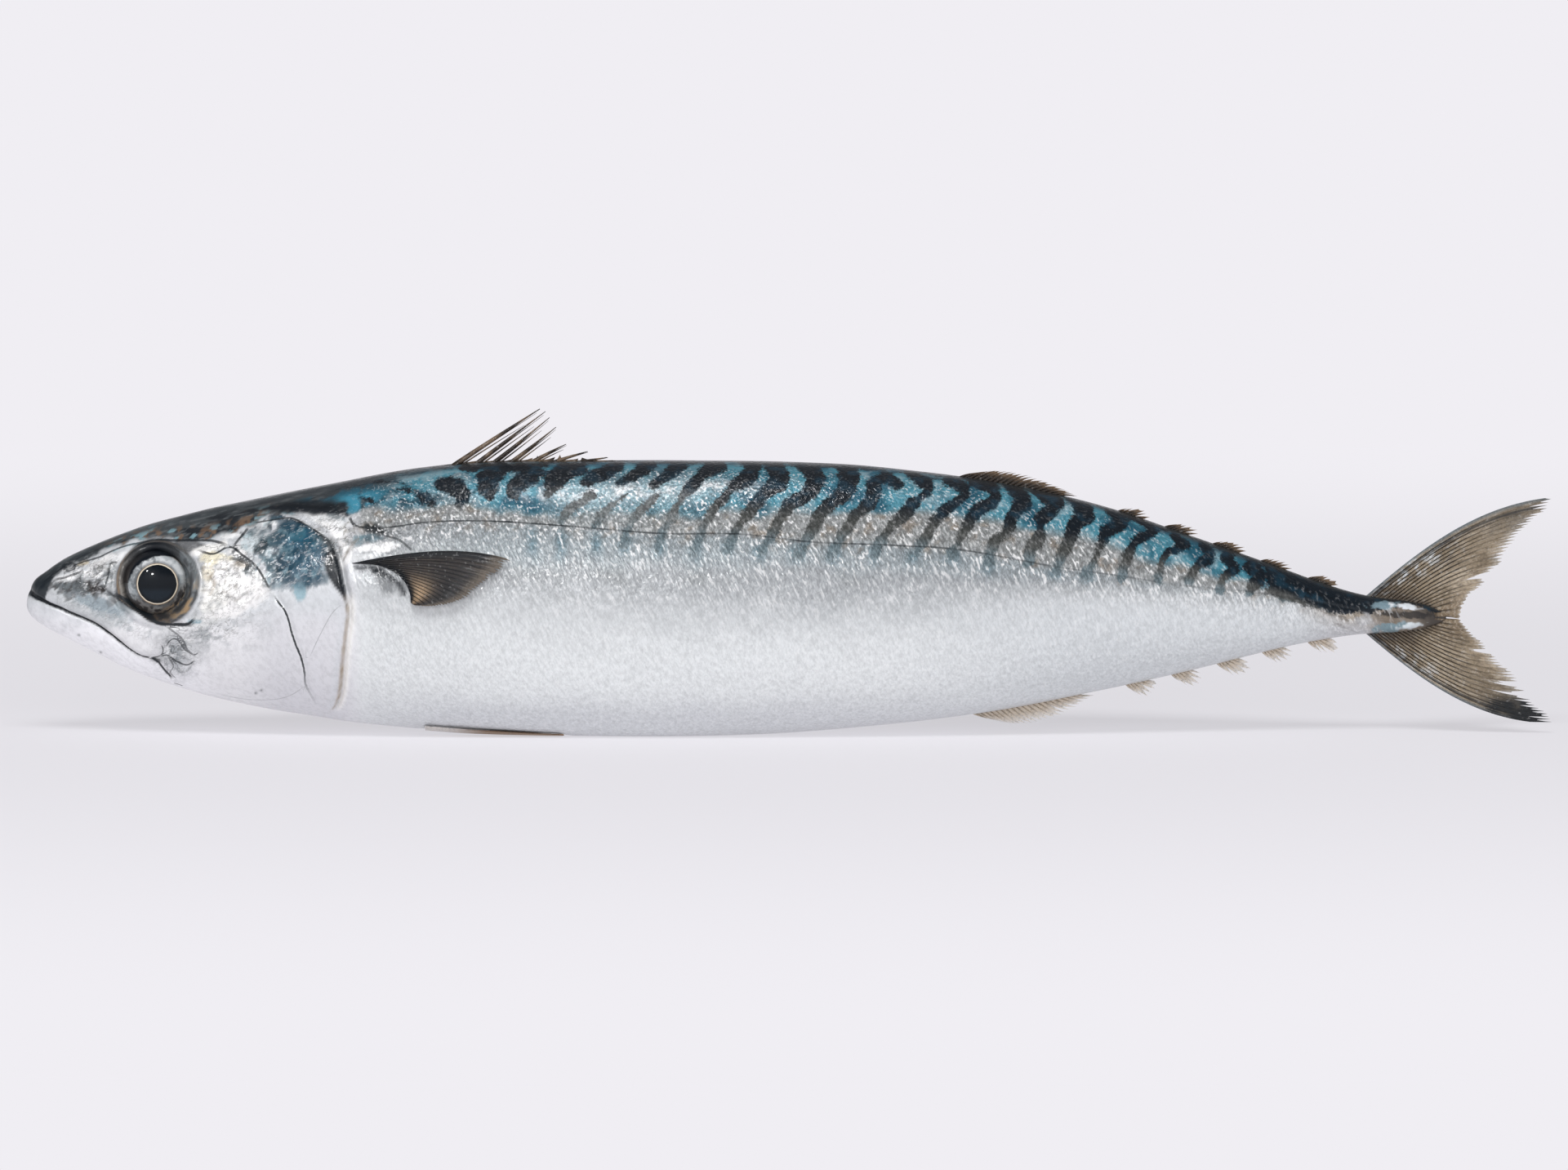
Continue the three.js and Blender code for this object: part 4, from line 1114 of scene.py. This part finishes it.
def skin_material():
    """Wet fine-scaled skin. Scales break up the edges of the marks, the colour and the shine."""
    n = Nodes("wet_skin")
    scales, sparkle = n.attribute("scales"), n.attribute("sparkle")
    ragged = n.math("SUBTRACT", n.noise(0.5, (1, 1, 1.4), 0.4, 2, 0.6), 0.5)
    edge = n.math("ADD", n.attribute("bars"), n.times(ragged, 1.8))
    colour = n.blend(n.ramp(edge, -0.35, 0.35), n.attribute("light", "Color"), n.attribute("dark", "Color"))
    # Fine dark and bright squiggles, one to each scale, steeper on the flank. The bright ones are painted
    # glints.
    squiggle = n.noise(0.66, (0.9, 0.8, 2.9), 0.42, 1.5, 0.5)
    curl = n.noise(0.9, (0.8, 0.8, 1.9), -0.25, 1, 0.5)
    dark_line = n.times(n.ramp(curl, 0.4, 0.49), n.ramp(curl, 0.58, 0.49))
    dull = n.tone(squiggle, 0.36, 0.56, 0.62, 1.08)
    dull = n.blend(n.times(dark_line, 0.45), dull, grey(0.12))
    colour = n.blend(sparkle, colour, n.blend(1.0, colour, dull, "MULTIPLY"))
    patches = n.ramp(n.noise(2.6, detail=2), 0.34, 0.6, 0.35, 1.0)
    # Painted highlights: white glints off single scales.
    glint = n.times(n.ramp(squiggle, 0.57, 0.64), n.times(sparkle, patches))
    glint = n.times(glint, n.ramp(edge, -0.6, 0.4, 1, 0.12))
    colour = n.blend(glint, colour, grey(0.8))
    # Thin creases, dark and bright, in the loose skin of the head: the dark ones painted shade, the bright
    # flecks painted glints.
    grain = n.attribute("grain")
    crease = n.math("ABSOLUTE", n.math("SUBTRACT", n.noise(1.7, (1.4, 1, 0.8), 0.5, 3, 0.6), 0.5))
    crease = n.times(n.ramp(crease, 0.035, 0.008), grain)
    shining = n.times(n.ramp(n.noise(1.0, (1.5, 1, 0.7), 0.35, 3, 0.65), 0.55, 0.63), grain)
    murky = n.times(n.ramp(n.noise(1.3, (1.5, 1, 0.7), 0.6, 3, 0.65), 0.56, 0.66), grain)
    colour = n.blend(n.times(murky, 0.45), colour, solid(62, 72, 76))
    colour = n.blend(n.times(crease, 0.6), colour, solid(60, 60, 58))
    colour = n.blend(n.times(shining, 0.6), colour, grey(0.84))
    line = n.math("ADD", n.attribute("line"), n.times(ragged, 0.9))
    line = n.times(n.ramp(n.math("ABSOLUTE", line), 1.35, 0.6), n.attribute("ink"))
    colour = n.blend(line, colour, solid(24, 30, 35))
    mottle = n.tone(n.noise(1.1, (1, 1, 1.5), 0.4, 4, 0.7), 0.3, 0.7, 0.88, 1.06)
    colour = n.blend(1.0, colour, mottle, "MULTIPLY")
    plate = n.cells(1.15, (1, 1, 0.8), 0.4)
    relief = n.math("ADD", n.times(plate, 0.5), squiggle)
    relief = n.times(relief, n.ramp(scales, 0, 1, 0.3, 1))
    return n.finish(
        Base_Color=colour,
        Metallic=n.times(n.attribute("metal"), 0.4),
        Roughness=n.ramp(n.noise(2.2, detail=3), 0.3, 0.7, 0.3, 0.45),
        Specular_IOR_Level=0.2,
        Normal=n.bump(relief, 0.5, 0.0003),
        Coat_Weight=0.5,
        Coat_IOR=1.35,
        Coat_Roughness=0.12,
        Coat_Normal=n.bump(relief, 0.5, 0.0003),
    )


# ---- Eyes ----

SKIN_GAP = 0.1  # how much smaller than its CAD node the ball is all round


def eye_colours(x, z, front):
    """Black pupil, cream rim, silver iris clouded with grey and brown, painted shade under the upper lid and
    at the left edge, and painted reflections.
    """
    x = x - 0.4  # the pupil looks a little backwards
    ring, turn = np.hypot(x, z), np.arctan2(z, x)
    cloud, fine = clouds(x + 40, z + 40, 2.4, 3), clouds(x + 40, z + 40, 0.8, 5)
    streak = clouds(turn * 4 + 40, ring * 1.3 + 40, 0.8, 7)
    lower = ease(-0.4, -3.6, z - 0.25 * x)
    warm = bell(turn + 0.75, 0.6) * ease(5.4, 6.4, ring)
    canvas = new_canvas(x, (150, 157, 160))
    paint(
        canvas,
        ((196, 200, 202), ease(-0.1, 0.4, cloud + 0.4 * fine) * 0.8),
        # Painted reflection: a pale crescent on the upper left of the iris.
        ((224, 226, 227), bell(turn - 2.3, 1.0) * bell(ring - 5.6, 0.6) * (0.9 + 0.6 * fine)),
        ((206, 209, 210), bell(turn - 0.1, 0.8) * bell(ring - 6, 0.5) * (0.6 + 0.6 * fine)),
        ((92, 98, 102), ease(0.05, 0.5, -cloud + 0.6 * fine) * 0.75),
        ((92, 85, 78), lower * (0.75 + 0.3 * streak)),
        ((40, 40, 42), lower * ease(-0.1, 0.3, streak) * 0.8),
        ((156, 130, 98), warm * ease(0.1, -0.3, streak) * 0.9),
        ((70, 76, 80), bell(ring - 5, 0.3) * 0.6),
        ((166, 142, 108), bell(ring - 6.95, 0.15) * bell(turn, 1.2) * 0.8),
        # Painted shade under the upper lid.
        ((18, 23, 29), ease(7.3, 7.7, np.hypot(x - 0.8, z + 1.2) + 0.15 * fine) * (z > 0)),
        # Painted shadow of the socket at the left edge.
        ((58, 54, 52), ease(6.6, 6.9, ring) * bell(np.abs(turn) - 3.14, 0.9) * 0.8),
        ((226, 216, 196), ease(4.74, 4.62, ring + 0.1 * fine)),
        ((120, 98, 74), bell(ring - 4.74, 0.1) * 0.9),
        ((13, 19, 25), ease(4.5, 4.38, ring + 0.05 * fine)),
        # Painted reflection: the pupil a little bluer low down.
        ((30, 40, 49), ease(4.2, 3.4, ring) * ease(-0.5, -2, z) * 0.6),
        ((30, 34, 38), ~front),
    )
    return canvas


def eye(name, node, side, material):
    """A ball with a low clear dome in front, turned round the axis across the head."""
    low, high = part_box(node)
    centre = (low + high) / 2 / MM
    radius = (high.x - low.x) / 2 / MM - SKIN_GAP
    front = (high.y - low.y) / 2 / MM - SKIN_GAP
    turn = np.linspace(0, math.pi, 220)
    out = radius * np.sin(turn) ** 0.9
    deep = front * np.cos(turn)
    around = np.linspace(0, 2 * math.pi, 200, endpoint=False)
    R, T = np.meshgrid(out, around, indexing="ij")
    D = np.broadcast_to(deep[:, None], R.shape)
    dx, dz = R * np.cos(T), R * np.sin(T)
    points = np.stack([centre.x - JAW + dx, centre.y + side * D, centre.z + dz], -1)
    faces = grid_faces(len(turn), len(around), closed=True)
    if side < 0:
        faces = faces[:, ::-1]
    piece = new_object(name, points, faces.tolist(), {"paint": eye_colours(dx, dz, D > 0)})
    return stand_for(piece, node, material)


def eye_material():
    """Everything of the eye lies under a clear wet cornea."""
    n = Nodes("fish_eye")
    cloud = n.noise(0.8, detail=4, rough=0.7)
    tone = n.tone(cloud, 0.3, 0.7, 0.86, 1.12)
    return n.finish(
        Base_Color=n.blend(1.0, n.attribute("paint", "Color"), tone, "MULTIPLY"),
        Roughness=0.3,
        Specular_IOR_Level=0.05,
        Normal=n.bump(cloud, 0.15, 0.0002),
        Coat_Weight=1.0,
        Coat_Roughness=0.02,
        Coat_IOR=1.25,
    )


# ---- Fins ----


class Fan:
    """A thin fin of rays that run from a root curve to a tip curve.

    root and tip are points (x, z) along the fin's foot and its free edge, from its leading ray to its last.
    """

    ACROSS = 12  # columns of points for each ray

    def __init__(self, root, tip, rays, rows=40, bow=(0.0, 0.0), seed=1):
        self.rays = rays
        columns = rays * self.ACROSS + 1
        self.reach = np.ones(columns)
        self.u = np.linspace(0, 1, columns)
        self.v = np.linspace(0, 1, rows)
        self.U, self.V = np.meshgrid(self.u, self.v, indexing="ij")
        self.random = np.random.default_rng(seed)
        self.root, self.tip, self.bow = self.spread(root), self.spread(tip), bow

    def spread(self, points):
        """A smooth curve through the points, sampled evenly once a column."""
        route = rounded_route(points, 12)
        walked = np.concatenate([[0], np.cumsum(np.hypot(*np.diff(route, axis=0).T))])
        at = self.u * walked[-1]
        return np.stack([np.interp(at, walked, route[:, 0]), np.interp(at, walked, route[:, 1])], -1)

    def uneven(self, count, low):
        """A number for each column that wanders between low and 1, count times along the fin."""
        return np.interp(self.u, np.linspace(0, 1, count + 1), self.random.uniform(low, 1, count + 1))

    def fray(self, depth, splits=(), fine=2):
        """Shortens the columns between the rays, so that the edge is frayed, and cuts splits (u, depth)."""
        phase = self.u * self.rays * fine
        tooth = np.abs((phase % 1) * 2 - 1) ** 0.8
        teeth = tooth * self.uneven(self.rays * fine, 0.25)
        self.reach = 1 - depth * teeth - 0.5 * depth * self.uneven(self.rays, 0)
        for u, cut in splits:
            self.reach -= cut * bell(self.u - u, 0.35 / self.rays)
        return self

    def lines(self):
        """1 along the dark furrows between the rays and 0 on top of them."""
        phase = np.abs((self.U * self.rays) % 1 - 0.5) * 2
        return ease(0.5, 0.95, phase)

    def flat(self):
        """Points (x, z) of the grid. The bow is fullest a little past the middle."""
        root, tip = self.root[:, None, :], self.tip[:, None, :]
        v = (self.V * self.reach[:, None])[..., None]
        plane = root + (tip - root) * v
        direction = (tip - root) / np.maximum(np.linalg.norm(tip - root, axis=-1, keepdims=True), 1e-6)
        across = np.stack([-direction[..., 1], direction[..., 0]], -1)
        bow = mix(self.bow[0], self.bow[1], self.U**0.7)[..., None]
        return plane + across * bow * 4 * v * (1 - v) * (0.7 + 0.6 * v)

    def build(self, name, thickness, ridge, colour, depth_at=None, over_flesh=False):
        """Two sheets joined round their edge. depth_at(x, z, v) is where the fin's middle lies in y."""
        flat = self.flat()
        x, z = flat[..., 0], flat[..., 1]
        middle = depth_at(x, z, self.V) if depth_at else np.zeros(x.shape)
        swell = 1 - ridge * self.lines()
        taper = mix(1.0, 0.3, self.V**0.8)
        rim = np.minimum(np.minimum(self.U, 1 - self.U) * self.rays * 2, 1) ** 0.5
        half = thickness / 2 * swell * taper * np.maximum(rim, 0.25)
        if over_flesh:
            flesh = flank_depth(np.minimum(x, LENGTH), z) + 0.14 * swell
            half = np.maximum(half, flesh * (x < LENGTH))
        return self.sheet(name, [np.stack([x, middle + sign * half, z], -1) for sign in (-1, 1)], colour)

    def sheet(self, name, sides, colour):
        """The piece between two sides, both painted alike."""
        points, faces = closed_sheet(*sides)
        paints = colour(self, *np.moveaxis(self.flat(), -1, 0)).reshape(-1, 3)
        piece = new_object(name, points, faces, {"paint": np.concatenate([paints, paints])})
        recalculate(piece)
        return piece


def fin_material(name):
    """Thin wet membrane over bony rays."""
    n = Nodes(name)
    speck = n.noise(0.5, detail=3, rough=0.7)
    tone = n.tone(speck, 0.3, 0.7, 0.68, 1.25)
    colour = n.blend(1.0, n.attribute("paint", "Color"), tone, "MULTIPLY")
    # Painted glints: a few pale flecks on the wet membrane.
    glint = n.times(n.ramp(n.noise(0.8, (1, 1, 1), 0.6, 2), 0.62, 0.72), 0.12)
    colour = n.blend(glint, colour, grey(0.7))
    return n.finish(
        Base_Color=colour,
        Roughness=n.ramp(speck, 0.3, 0.7, 0.4, 0.6),
        Specular_IOR_Level=0.15,
        Normal=n.bump(speck, 0.4, 0.0002),
        Coat_Weight=0.3,
        Coat_IOR=1.3,
        Coat_Roughness=0.15,
        Subsurface_Weight=0.1,
        Subsurface_Radius=(0.002, 0.0015, 0.001),
    )


def tail_paint(upper):
    """Brown membrane between dark furrows, with bright beads of painted glints on the leading rays and a
    dark tip.
    """

    def colour(fan, x, z):
        U, V = fan.U, fan.V
        cloud = clouds(x, z, 6, 5 if upper else 8)
        grain = clouds(U * 60, V * 30, 1.4, 15)
        furrow = fan.lines() * window(V, 0, 0.06, 0.5, 0.95)
        painted_glint = ease(0.1, 0.5, clouds(V * 60, U * 20, 1.3, 25)) * bell(V - 0.3, 0.24) * ease(0.45, 0.1, U)
        tip = ease(0.55, 0.9, V) * ease(0.5, 0.1, U) * (0.7 + cloud)
        canvas = new_canvas(U, (142, 128, 108))
        paint(
            canvas,
            ((178, 164, 144), ease(0, 0.6, cloud) * 0.6),
            ((104, 92, 76), ease(0.1, 0.7, -cloud) * 0.7),
            ((120, 104, 84), ease(0.7, 0.95, U) * 0.6),
            ((96, 86, 74), ease(0.1, 0.6, grain) * 0.5),
            ((196, 188, 176), ease(0.2, 0.6, -grain) * 0.35),
            ((14, 14, 16), furrow * (1 - 0.3 * ease(0.5, 0.85, U))),
            ((60, 52, 46), ease(0.22, 0.02, V) * 0.75),
            # Painted highlight: glints in beads along the leading rays.
            ((206, 212, 216), painted_glint * (1 - fan.lines()) * (0.9 if upper else 0.6)),
            ((108, 118, 124), ease(0.05, 0.0, U) * 0.8),
            ((36, 42, 48), bell(U - 0.075, 0.018) * 0.8),
            ((196, 192, 186), ease(0.9, 1, V) * 0.5 * ease(0.06, 0.2, U)),
            ((36, 38, 40), tip * (0.45 if upper else 1.1)),
        )
        return canvas

    return colour


def tail_fin(material):
    """Two lobes round the end of the flesh, joined in the fork, with frayed trailing edges."""
    low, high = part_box("tail_fin")
    tip_x = high.x / MM - JAW
    upper = Fan(
        [(307, 31.2), (311, 30.8), (315.5, 30.4), (319.5, 29.8), (322, 29), (323, 28.1), (323.5, 27)],
        [(tip_x + 2.4, high.z / MM + 1.4), (348.4, 50.4), (344.4, 46.8), (341.6, 43.4), (339.4, 40),
         (336.6, 37), (335, 34.6), (331.8, 32.2), (330.2, 29.6), (329.2, 26.4)],
        18, 60, (4.4, 0.1), 3,
    ).fray(0.1, [(0.66, 0.2)])  # fmt: skip
    lower = Fan(
        [(306.5, 23.9), (311, 23.7), (315, 23.9), (319, 24.6), (322, 25.3), (323, 26.1), (323.5, 26.8)],
        [(tip_x + 2.4, low.z / MM - 0.6), (349.4, 5), (346, 8.4), (343.6, 11.4), (341, 14.6), (338.4, 17.4),
         (335.6, 20), (333, 22.4), (331, 24.4), (329.2, 26.4)],
        18, 60, (-5, -0.1), 4,
    ).fray(0.1, [(0.28, 0.14), (0.37, 0.12), (0.68, 0.2)])  # fmt: skip
    for name, fan, paint_it in (("upper", upper, tail_paint(True)), ("lower", lower, tail_paint(False))):
        lobe = fan.build(f"tail_{name}_lobe", 1.3, 0.4, paint_it, over_flesh=True)
        stand_for(lobe, "tail_fin", material)


def pectoral_fin(side, material):
    """A dark fan folded back on the flank."""
    name = "left" if side < 0 else "right"
    fan = Fan(
        [(74.8, 40.9), (80.4, 40.6), (84.4, 39.2), (87, 36.8), (88.2, 34.2), (88.4, 32)],
        [(111.8, 42), (109.4, 39.8), (107, 37.8), (104, 35.4), (101, 33.2), (97, 31.8), (92.6, 31.4),
         (89.4, 31.6)],
        18, 44, (2.4, 0.0), 7,
    ).fray(0.06)  # fmt: skip

    def depth_at(x, z, v):
        return side * (flank_depth(x, z) + 0.35 + 2.0 * ease(0, 1, v))

    def colour(fan, x, z):
        U, V = fan.U, fan.V
        cloud = clouds(x, z, 4, 12)
        grain = clouds(U * 60, V * 24, 1.4, 15)
        canvas = new_canvas(U, (56, 53, 52))
        paint(
            canvas,
            ((82, 74, 66), ease(0, 0.5, grain) * 0.4),
            ((178, 152, 122), bell(U - 0.82, 0.24) * bell(V - 0.4, 0.22) * 0.95),
            ((36, 38, 41), ease(0.4, 0.75, V) * bell(U - 0.6, 0.3) * 0.7),
            ((12, 15, 19), fan.lines() * ease(1.1, 0.8, V) * 0.92),
            ((14, 18, 23), ease(0.3, 0.1, V + 0.1 * cloud)),
            ((30, 34, 38), ease(0.14, 0.04, U) * 0.8),
            ((128, 118, 106), ease(0.86, 1, V) * 0.6),
        )
        return canvas

    piece = fan.build(f"{name}_pectoral_fan", 0.7, 0.5, colour, depth_at)
    return stand_for(piece, f"{name}_pectoral_fin", material)


def pelvic_fin(side, material):
    """A narrow fan folded flat under the belly."""
    name = "left" if side < 0 else "right"
    # This fan's points are (x, angle round the skin in degrees).
    fan = Fan([(91.5, 161), (91.5, 171)], [(124, 157.5), (121, 174)], 6, 40, (0, 0), 15).fray(0.05)
    x, angle = np.moveaxis(fan.flat(), -1, 0)

    def colour(fan, x, angle):
        canvas = new_canvas(x, (150, 122, 96))
        paint(canvas, ((70, 52, 42), fan.lines() * 0.7), ((216, 212, 208), ease(0.5, 0.1, fan.V) * 0.9))
        return canvas

    sides = []
    for offset in (0.02, 0.25):
        y, z = skin_point(x, np.radians(angle), offset)
        sides.append(np.stack([x, -side * y, np.maximum(settled(z, 0.27 - offset), 0.02)], -1))
    piece = fan.sheet(f"{name}_pelvic_fan", sides, colour)
    return stand_for(piece, f"{name}_pelvic_fin", material)


def low_fin_paint(body, furrow, edge):
    def colour(fan, x, z):
        canvas = new_canvas(x, body)
        paint(canvas, (furrow, fan.lines() * 0.8), (edge, ease(0.45, 1, fan.V) * 0.8))
        return canvas

    return colour


def span(node):
    """Where a node starts and ends along the fish, from the jaw."""
    low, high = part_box(node)
    return low.x / MM - JAW, high.x / MM - JAW


def low_fin(name, node, height, peak, edge_at, up, material, colour, lead=0.0):
    """A low fin of rays swept far back along the back or the belly. It starts lead before its node."""
    start, end = span(node)
    start -= lead
    sweep = 6.5
    share = np.linspace(0, 1, 9)
    foot = mix(start, end - sweep, share)
    rise = np.sin(math.pi * np.clip(share * 0.9 + 0.08, 0, 1) ** peak)
    root = [(x, edge_at(x) - up * 0.9) for x in foot]
    tip = [(x + sweep, edge_at(x + sweep) + up * (0.3 + height * r)) for x, r in zip(foot, rise)]
    fan = Fan(root, tip, 20, 30, (0.5 * up, 0.5 * up), int(start)).fray(0.4, fine=1)
    return stand_for(fan.build(name, 1.0, 0.5, colour), node, material)


def finlet(name, node, edge_at, up, material, colour, seed, tall=1.0):
    """A small tuft of rays that sweep back from a short foot to hair-fine ends."""
    start, end = span(node)
    root = [(x, edge_at(x) - up * 0.7) for x in np.linspace(start, mix(start, end, 0.55), 4)]
    ends = ((0.46, 1.2), (0.72, 2), (1.0, 2.2), (1.26, 1.7), (1.2, 0.5))
    tip = [(mix(start, end, at), edge_at(mix(start, end, at)) + up * tall * h) for at, h in ends]
    fan = Fan(root, tip, 6, 24, (0.25 * up, 0), seed).fray(0.5, fine=1)
    return stand_for(fan.build(name, 0.8, 0.4, colour), node, material)


# Spines of the first dorsal fin: distance behind the first one, length, slope, and bend back, as in the CAD.
SPINES = [
    (0, 24, 34.5, -2), (5, 20.4, 37.5, -1), (9, 17, 38, 2), (13, 13.6, 36.5, 3), (17.8, 9.3, 30, -5),
    (22.8, 8.6, 20, -5), (28.4, 7.2, 11, -2),
]  # fmt: skip
# How high the torn membrane stands at each spine and behind the last.
WEBS = [1.5, 0.5, 0.4, 0.5, 1.1, 1.3, 0.7, 0.1]


def spike(x, z, length, slope, bend, thick, y=0.0):
    """A tapered, slightly curved ray as points, faces, and how far along the ray each point is."""
    rows, sides = 16, 8
    t = np.linspace(0, 1, rows)
    heading = np.radians(slope + bend * t)
    step = length / (rows - 1)
    cx = x + np.concatenate([[0], np.cumsum(np.cos(heading[:-1]) * step)])
    cz = z + np.concatenate([[0], np.cumsum(np.sin(heading[:-1]) * step)])
    radius = thick / 2 * mix(1, 0.16, t**1.2)
    around = np.linspace(0, 2 * math.pi, sides, endpoint=False)
    out, across = np.cos(around)[None, :], np.sin(around)[None, :]
    px = cx[:, None] - np.sin(heading)[:, None] * out * radius[:, None]
    pz = cz[:, None] + np.cos(heading)[:, None] * out * radius[:, None]
    py = y + across * radius[:, None]
    points = np.stack([px, py, pz], -1).reshape(-1, 3)
    faces = grid_faces(rows, sides, closed=True).tolist()
    faces += [list(range(sides)), [(rows - 1) * sides + j for j in range(sides - 1, -1, -1)]]
    return points, faces, np.repeat(t, sides)


def web(a, b, height_a, height_b, seed):
    """A scrap of torn membrane between two spine roots, as a thin closed sheet."""
    t = np.linspace(0, 1, 10)
    xs = mix(a, b, t)
    torn = np.random.default_rng(seed).uniform(0, 0.1, len(t))
    sag = mix(height_a, height_b, t) * (1 - 0.85 * np.sin(math.pi * t)) + torn
    foot = back_at(xs) - 0.6
    level = np.linspace(0, 1, 5)[:, None]
    x, z = xs + 0.9 * sag * level, foot + (sag + 0.6) * level
    points, faces = closed_sheet(*[np.stack([x, np.full(x.shape, y), z], -1) for y in (-0.07, 0.07)])
    return points, faces, np.full(len(points), 0.5)


def first_dorsal(material):
    """Spines that lean back, each with split strands beside it, and the torn membrane along their feet."""
    start = span("first_dorsal_fin")[0] + 0.7
    parts = []
    for k, (behind, length, slope, bend) in enumerate(SPINES):
        x = start + behind
        z = back_at(x) - 0.5
        parts.append(spike(x, z, length, slope, bend, 0.95 if k else 1.3))
        # The last spines have one strand each, the others two.
        for shift, share, lean, y in ((0.7, 0.93, 0, 0.12), (1.45, 0.74, -1.2, -0.12))[: 2 if k < 5 else 1]:
            parts.append(spike(x + shift, z, length * share, slope + lean, bend, 0.42, y))
    roots = [start + spine[0] for spine in SPINES]
    roots.append(roots[-1] + 9)
    for k in range(len(SPINES)):
        parts.append(web(roots[k] + 0.6, roots[k + 1], WEBS[k], WEBS[k + 1] * 0.6, k))
    faces, base = [], 0
    for part_points, part_faces, _ in parts:
        faces += [[i + base for i in face] for face in part_faces]
        base += len(part_points)
    points = np.vstack([part[0] for part in parts])
    share = np.concatenate([part[2] for part in parts])
    grain = clouds(points[:, 0], points[:, 2], 2.2, 5)
    canvas = new_canvas(share, (116, 100, 84))
    paint(
        canvas,
        ((30, 30, 32), ease(-0.25, 0.3, grain) * 0.85),
        ((24, 26, 29), ease(0.75, 1, share) * 0.7),
    )
    piece = new_object("dorsal_spines", points, faces, {"paint": canvas})
    recalculate(piece)
    return stand_for(piece, "first_dorsal_fin", material)


# ---- Studio ----

PALE = solid(240, 238, 243)


def surroundings():
    """Pale near the horizon and dim overhead, where the lamps are."""
    world = bpy.data.worlds.new("studio")
    world.use_nodes = True
    tree = world.node_tree
    way = tree.nodes.new("ShaderNodeSeparateXYZ")
    tree.links.new(tree.nodes.new("ShaderNodeTexCoord").outputs["Generated"], way.inputs[0])
    dim = tree.nodes.new("ShaderNodeMapRange")
    dim.interpolation_type = "SMOOTHSTEP"
    for key, value in zip(("From Min", "From Max", "To Min", "To Max"), (0.12, 0.4, 1.0, 0.22)):
        dim.inputs[key].default_value = value
    tree.links.new(way.outputs["Z"], dim.inputs["Value"])
    background = tree.nodes["Background"]
    background.inputs["Color"].default_value = PALE
    tree.links.new(dim.outputs[0], background.inputs["Strength"])
    bpy.context.scene.world = world


def floor():
    """A pale floor that turns into the surroundings' own colour far out, so that no horizon shows."""
    size = 30.0
    corners = [(-size, -size, 0), (size, -size, 0), (size, size, 0), (-size, size, 0)]
    mesh = bpy.data.meshes.new("floor")
    mesh.from_pydata(corners, [], [(0, 1, 2, 3)])
    piece = bpy.data.objects.new("floor", mesh)
    bpy.context.scene.collection.objects.link(piece)
    n = Nodes("pale_floor")
    place = n.add("TexCoord").outputs["Object"]
    away = n.add("VectorMath", {"operation": "LENGTH"}, i0=place).outputs["Value"]
    glow = n.add("Emission", Color=PALE, Strength=1.0).outputs[0]
    n.finish(Base_Color=solid(236, 235, 240), Roughness=0.8, Specular_IOR_Level=0.05)
    both = n.add("MixShader", i0=n.ramp(away, 0.12, 0.8, 0.6, 1), i1=n.shader.outputs[0], i2=glow)
    n.join(n.tree.nodes["Material Output"].inputs[0], both.outputs[0])
    mesh.materials.append(n.material)


def area_light(name, place, size, watts, mirrored=True, spread=True):
    """A lamp that looks at the fish. One that isn't mirrored leaves no shine on what is wet, and one that
    doesn't spread leaves nothing else."""
    light = bpy.data.lights.new(name, "AREA")
    light.shape = "RECTANGLE"
    light.size, light.size_y = size
    light.energy = watts
    lamp = bpy.data.objects.new(name, light)
    lamp.location = place
    lamp.rotation_euler = (Vector((0, 0, 0.03)) - Vector(place)).to_track_quat("-Z", "Y").to_euler()
    lamp.visible_glossy = mirrored
    lamp.visible_diffuse = spread
    bpy.context.scene.collection.objects.link(lamp)


def lights():
    area_light("softbox", (-0.2, -1.5, 1.95), (1.05, 0.85), 33, mirrored=False)
    area_light("front_fill", (0.2, -1.7, 0.5), (1.8, 0.9), 10.5, mirrored=False)
    area_light("shine_strip", (-0.037, -0.14, 0.95), (0.07, 0.05), 1.6, spread=False)
    area_light("left_spark", (-0.32, -1.35, 0.42), (0.09, 0.09), 4, spread=False)
    area_light("high_spark", (-0.62, -1.2, 0.62), (0.06, 0.06), 3, spread=False)


def camera():
    """Side on, a little above the floor, through a long lens."""
    distance = 8.0
    view_width = 0.3601
    aim = Vector((-0.0011, 0, 0.0342))
    data = bpy.data.cameras.new("camera")
    data.sensor_width = 36
    data.lens = data.sensor_width * distance / view_width
    data.clip_start = 0.01
    eye_point = bpy.data.objects.new("camera", data)
    eye_point.location = aim + distance * Vector((0, -math.cos(ELEVATION), math.sin(ELEVATION)))
    eye_point.rotation_euler = (aim - eye_point.location).to_track_quat("-Z", "Y").to_euler()
    bpy.context.scene.collection.objects.link(eye_point)
    bpy.context.scene.camera = eye_point


def main():
    bpy.context.scene.view_settings.view_transform = "Standard"
    camera()
    surroundings()
    floor()
    lights()
    fin, pale_fin = fin_material("fin_membrane"), fin_material("pale_fin_membrane")
    stand_for(Skin().build(), "body", skin_material())
    ball = eye_material()
    eye("left_eyeball", "left_eye", -1, ball)
    eye("right_eyeball", "right_eye", 1, ball)
    tail_fin(fin)
    for side in (-1, 1):
        pectoral_fin(side, fin)
        pelvic_fin(side, pale_fin)
    first_dorsal(fin)
    brown = low_fin_paint((56, 50, 45), (24, 23, 24), (128, 108, 88))
    pale = low_fin_paint((200, 188, 172), (150, 134, 116), (222, 219, 215))
    low_fin("second_dorsal_rays", "second_dorsal_fin", 2.9, 0.8, back_at, 1, fin, brown)
    low_fin("anal_rays", "anal_fin", 4.4, 0.9, belly_at, -1, pale_fin, pale, 3.5)
    for i in range(1, 6):
        finlet(f"dorsal_tuft_{i}", f"dorsal_finlet_{i}", back_at, 1, fin, brown, 20 + i)
        finlet(f"anal_tuft_{i}", f"anal_finlet_{i}", belly_at, -1, pale_fin, pale, 30 + i, 2.0)


main()
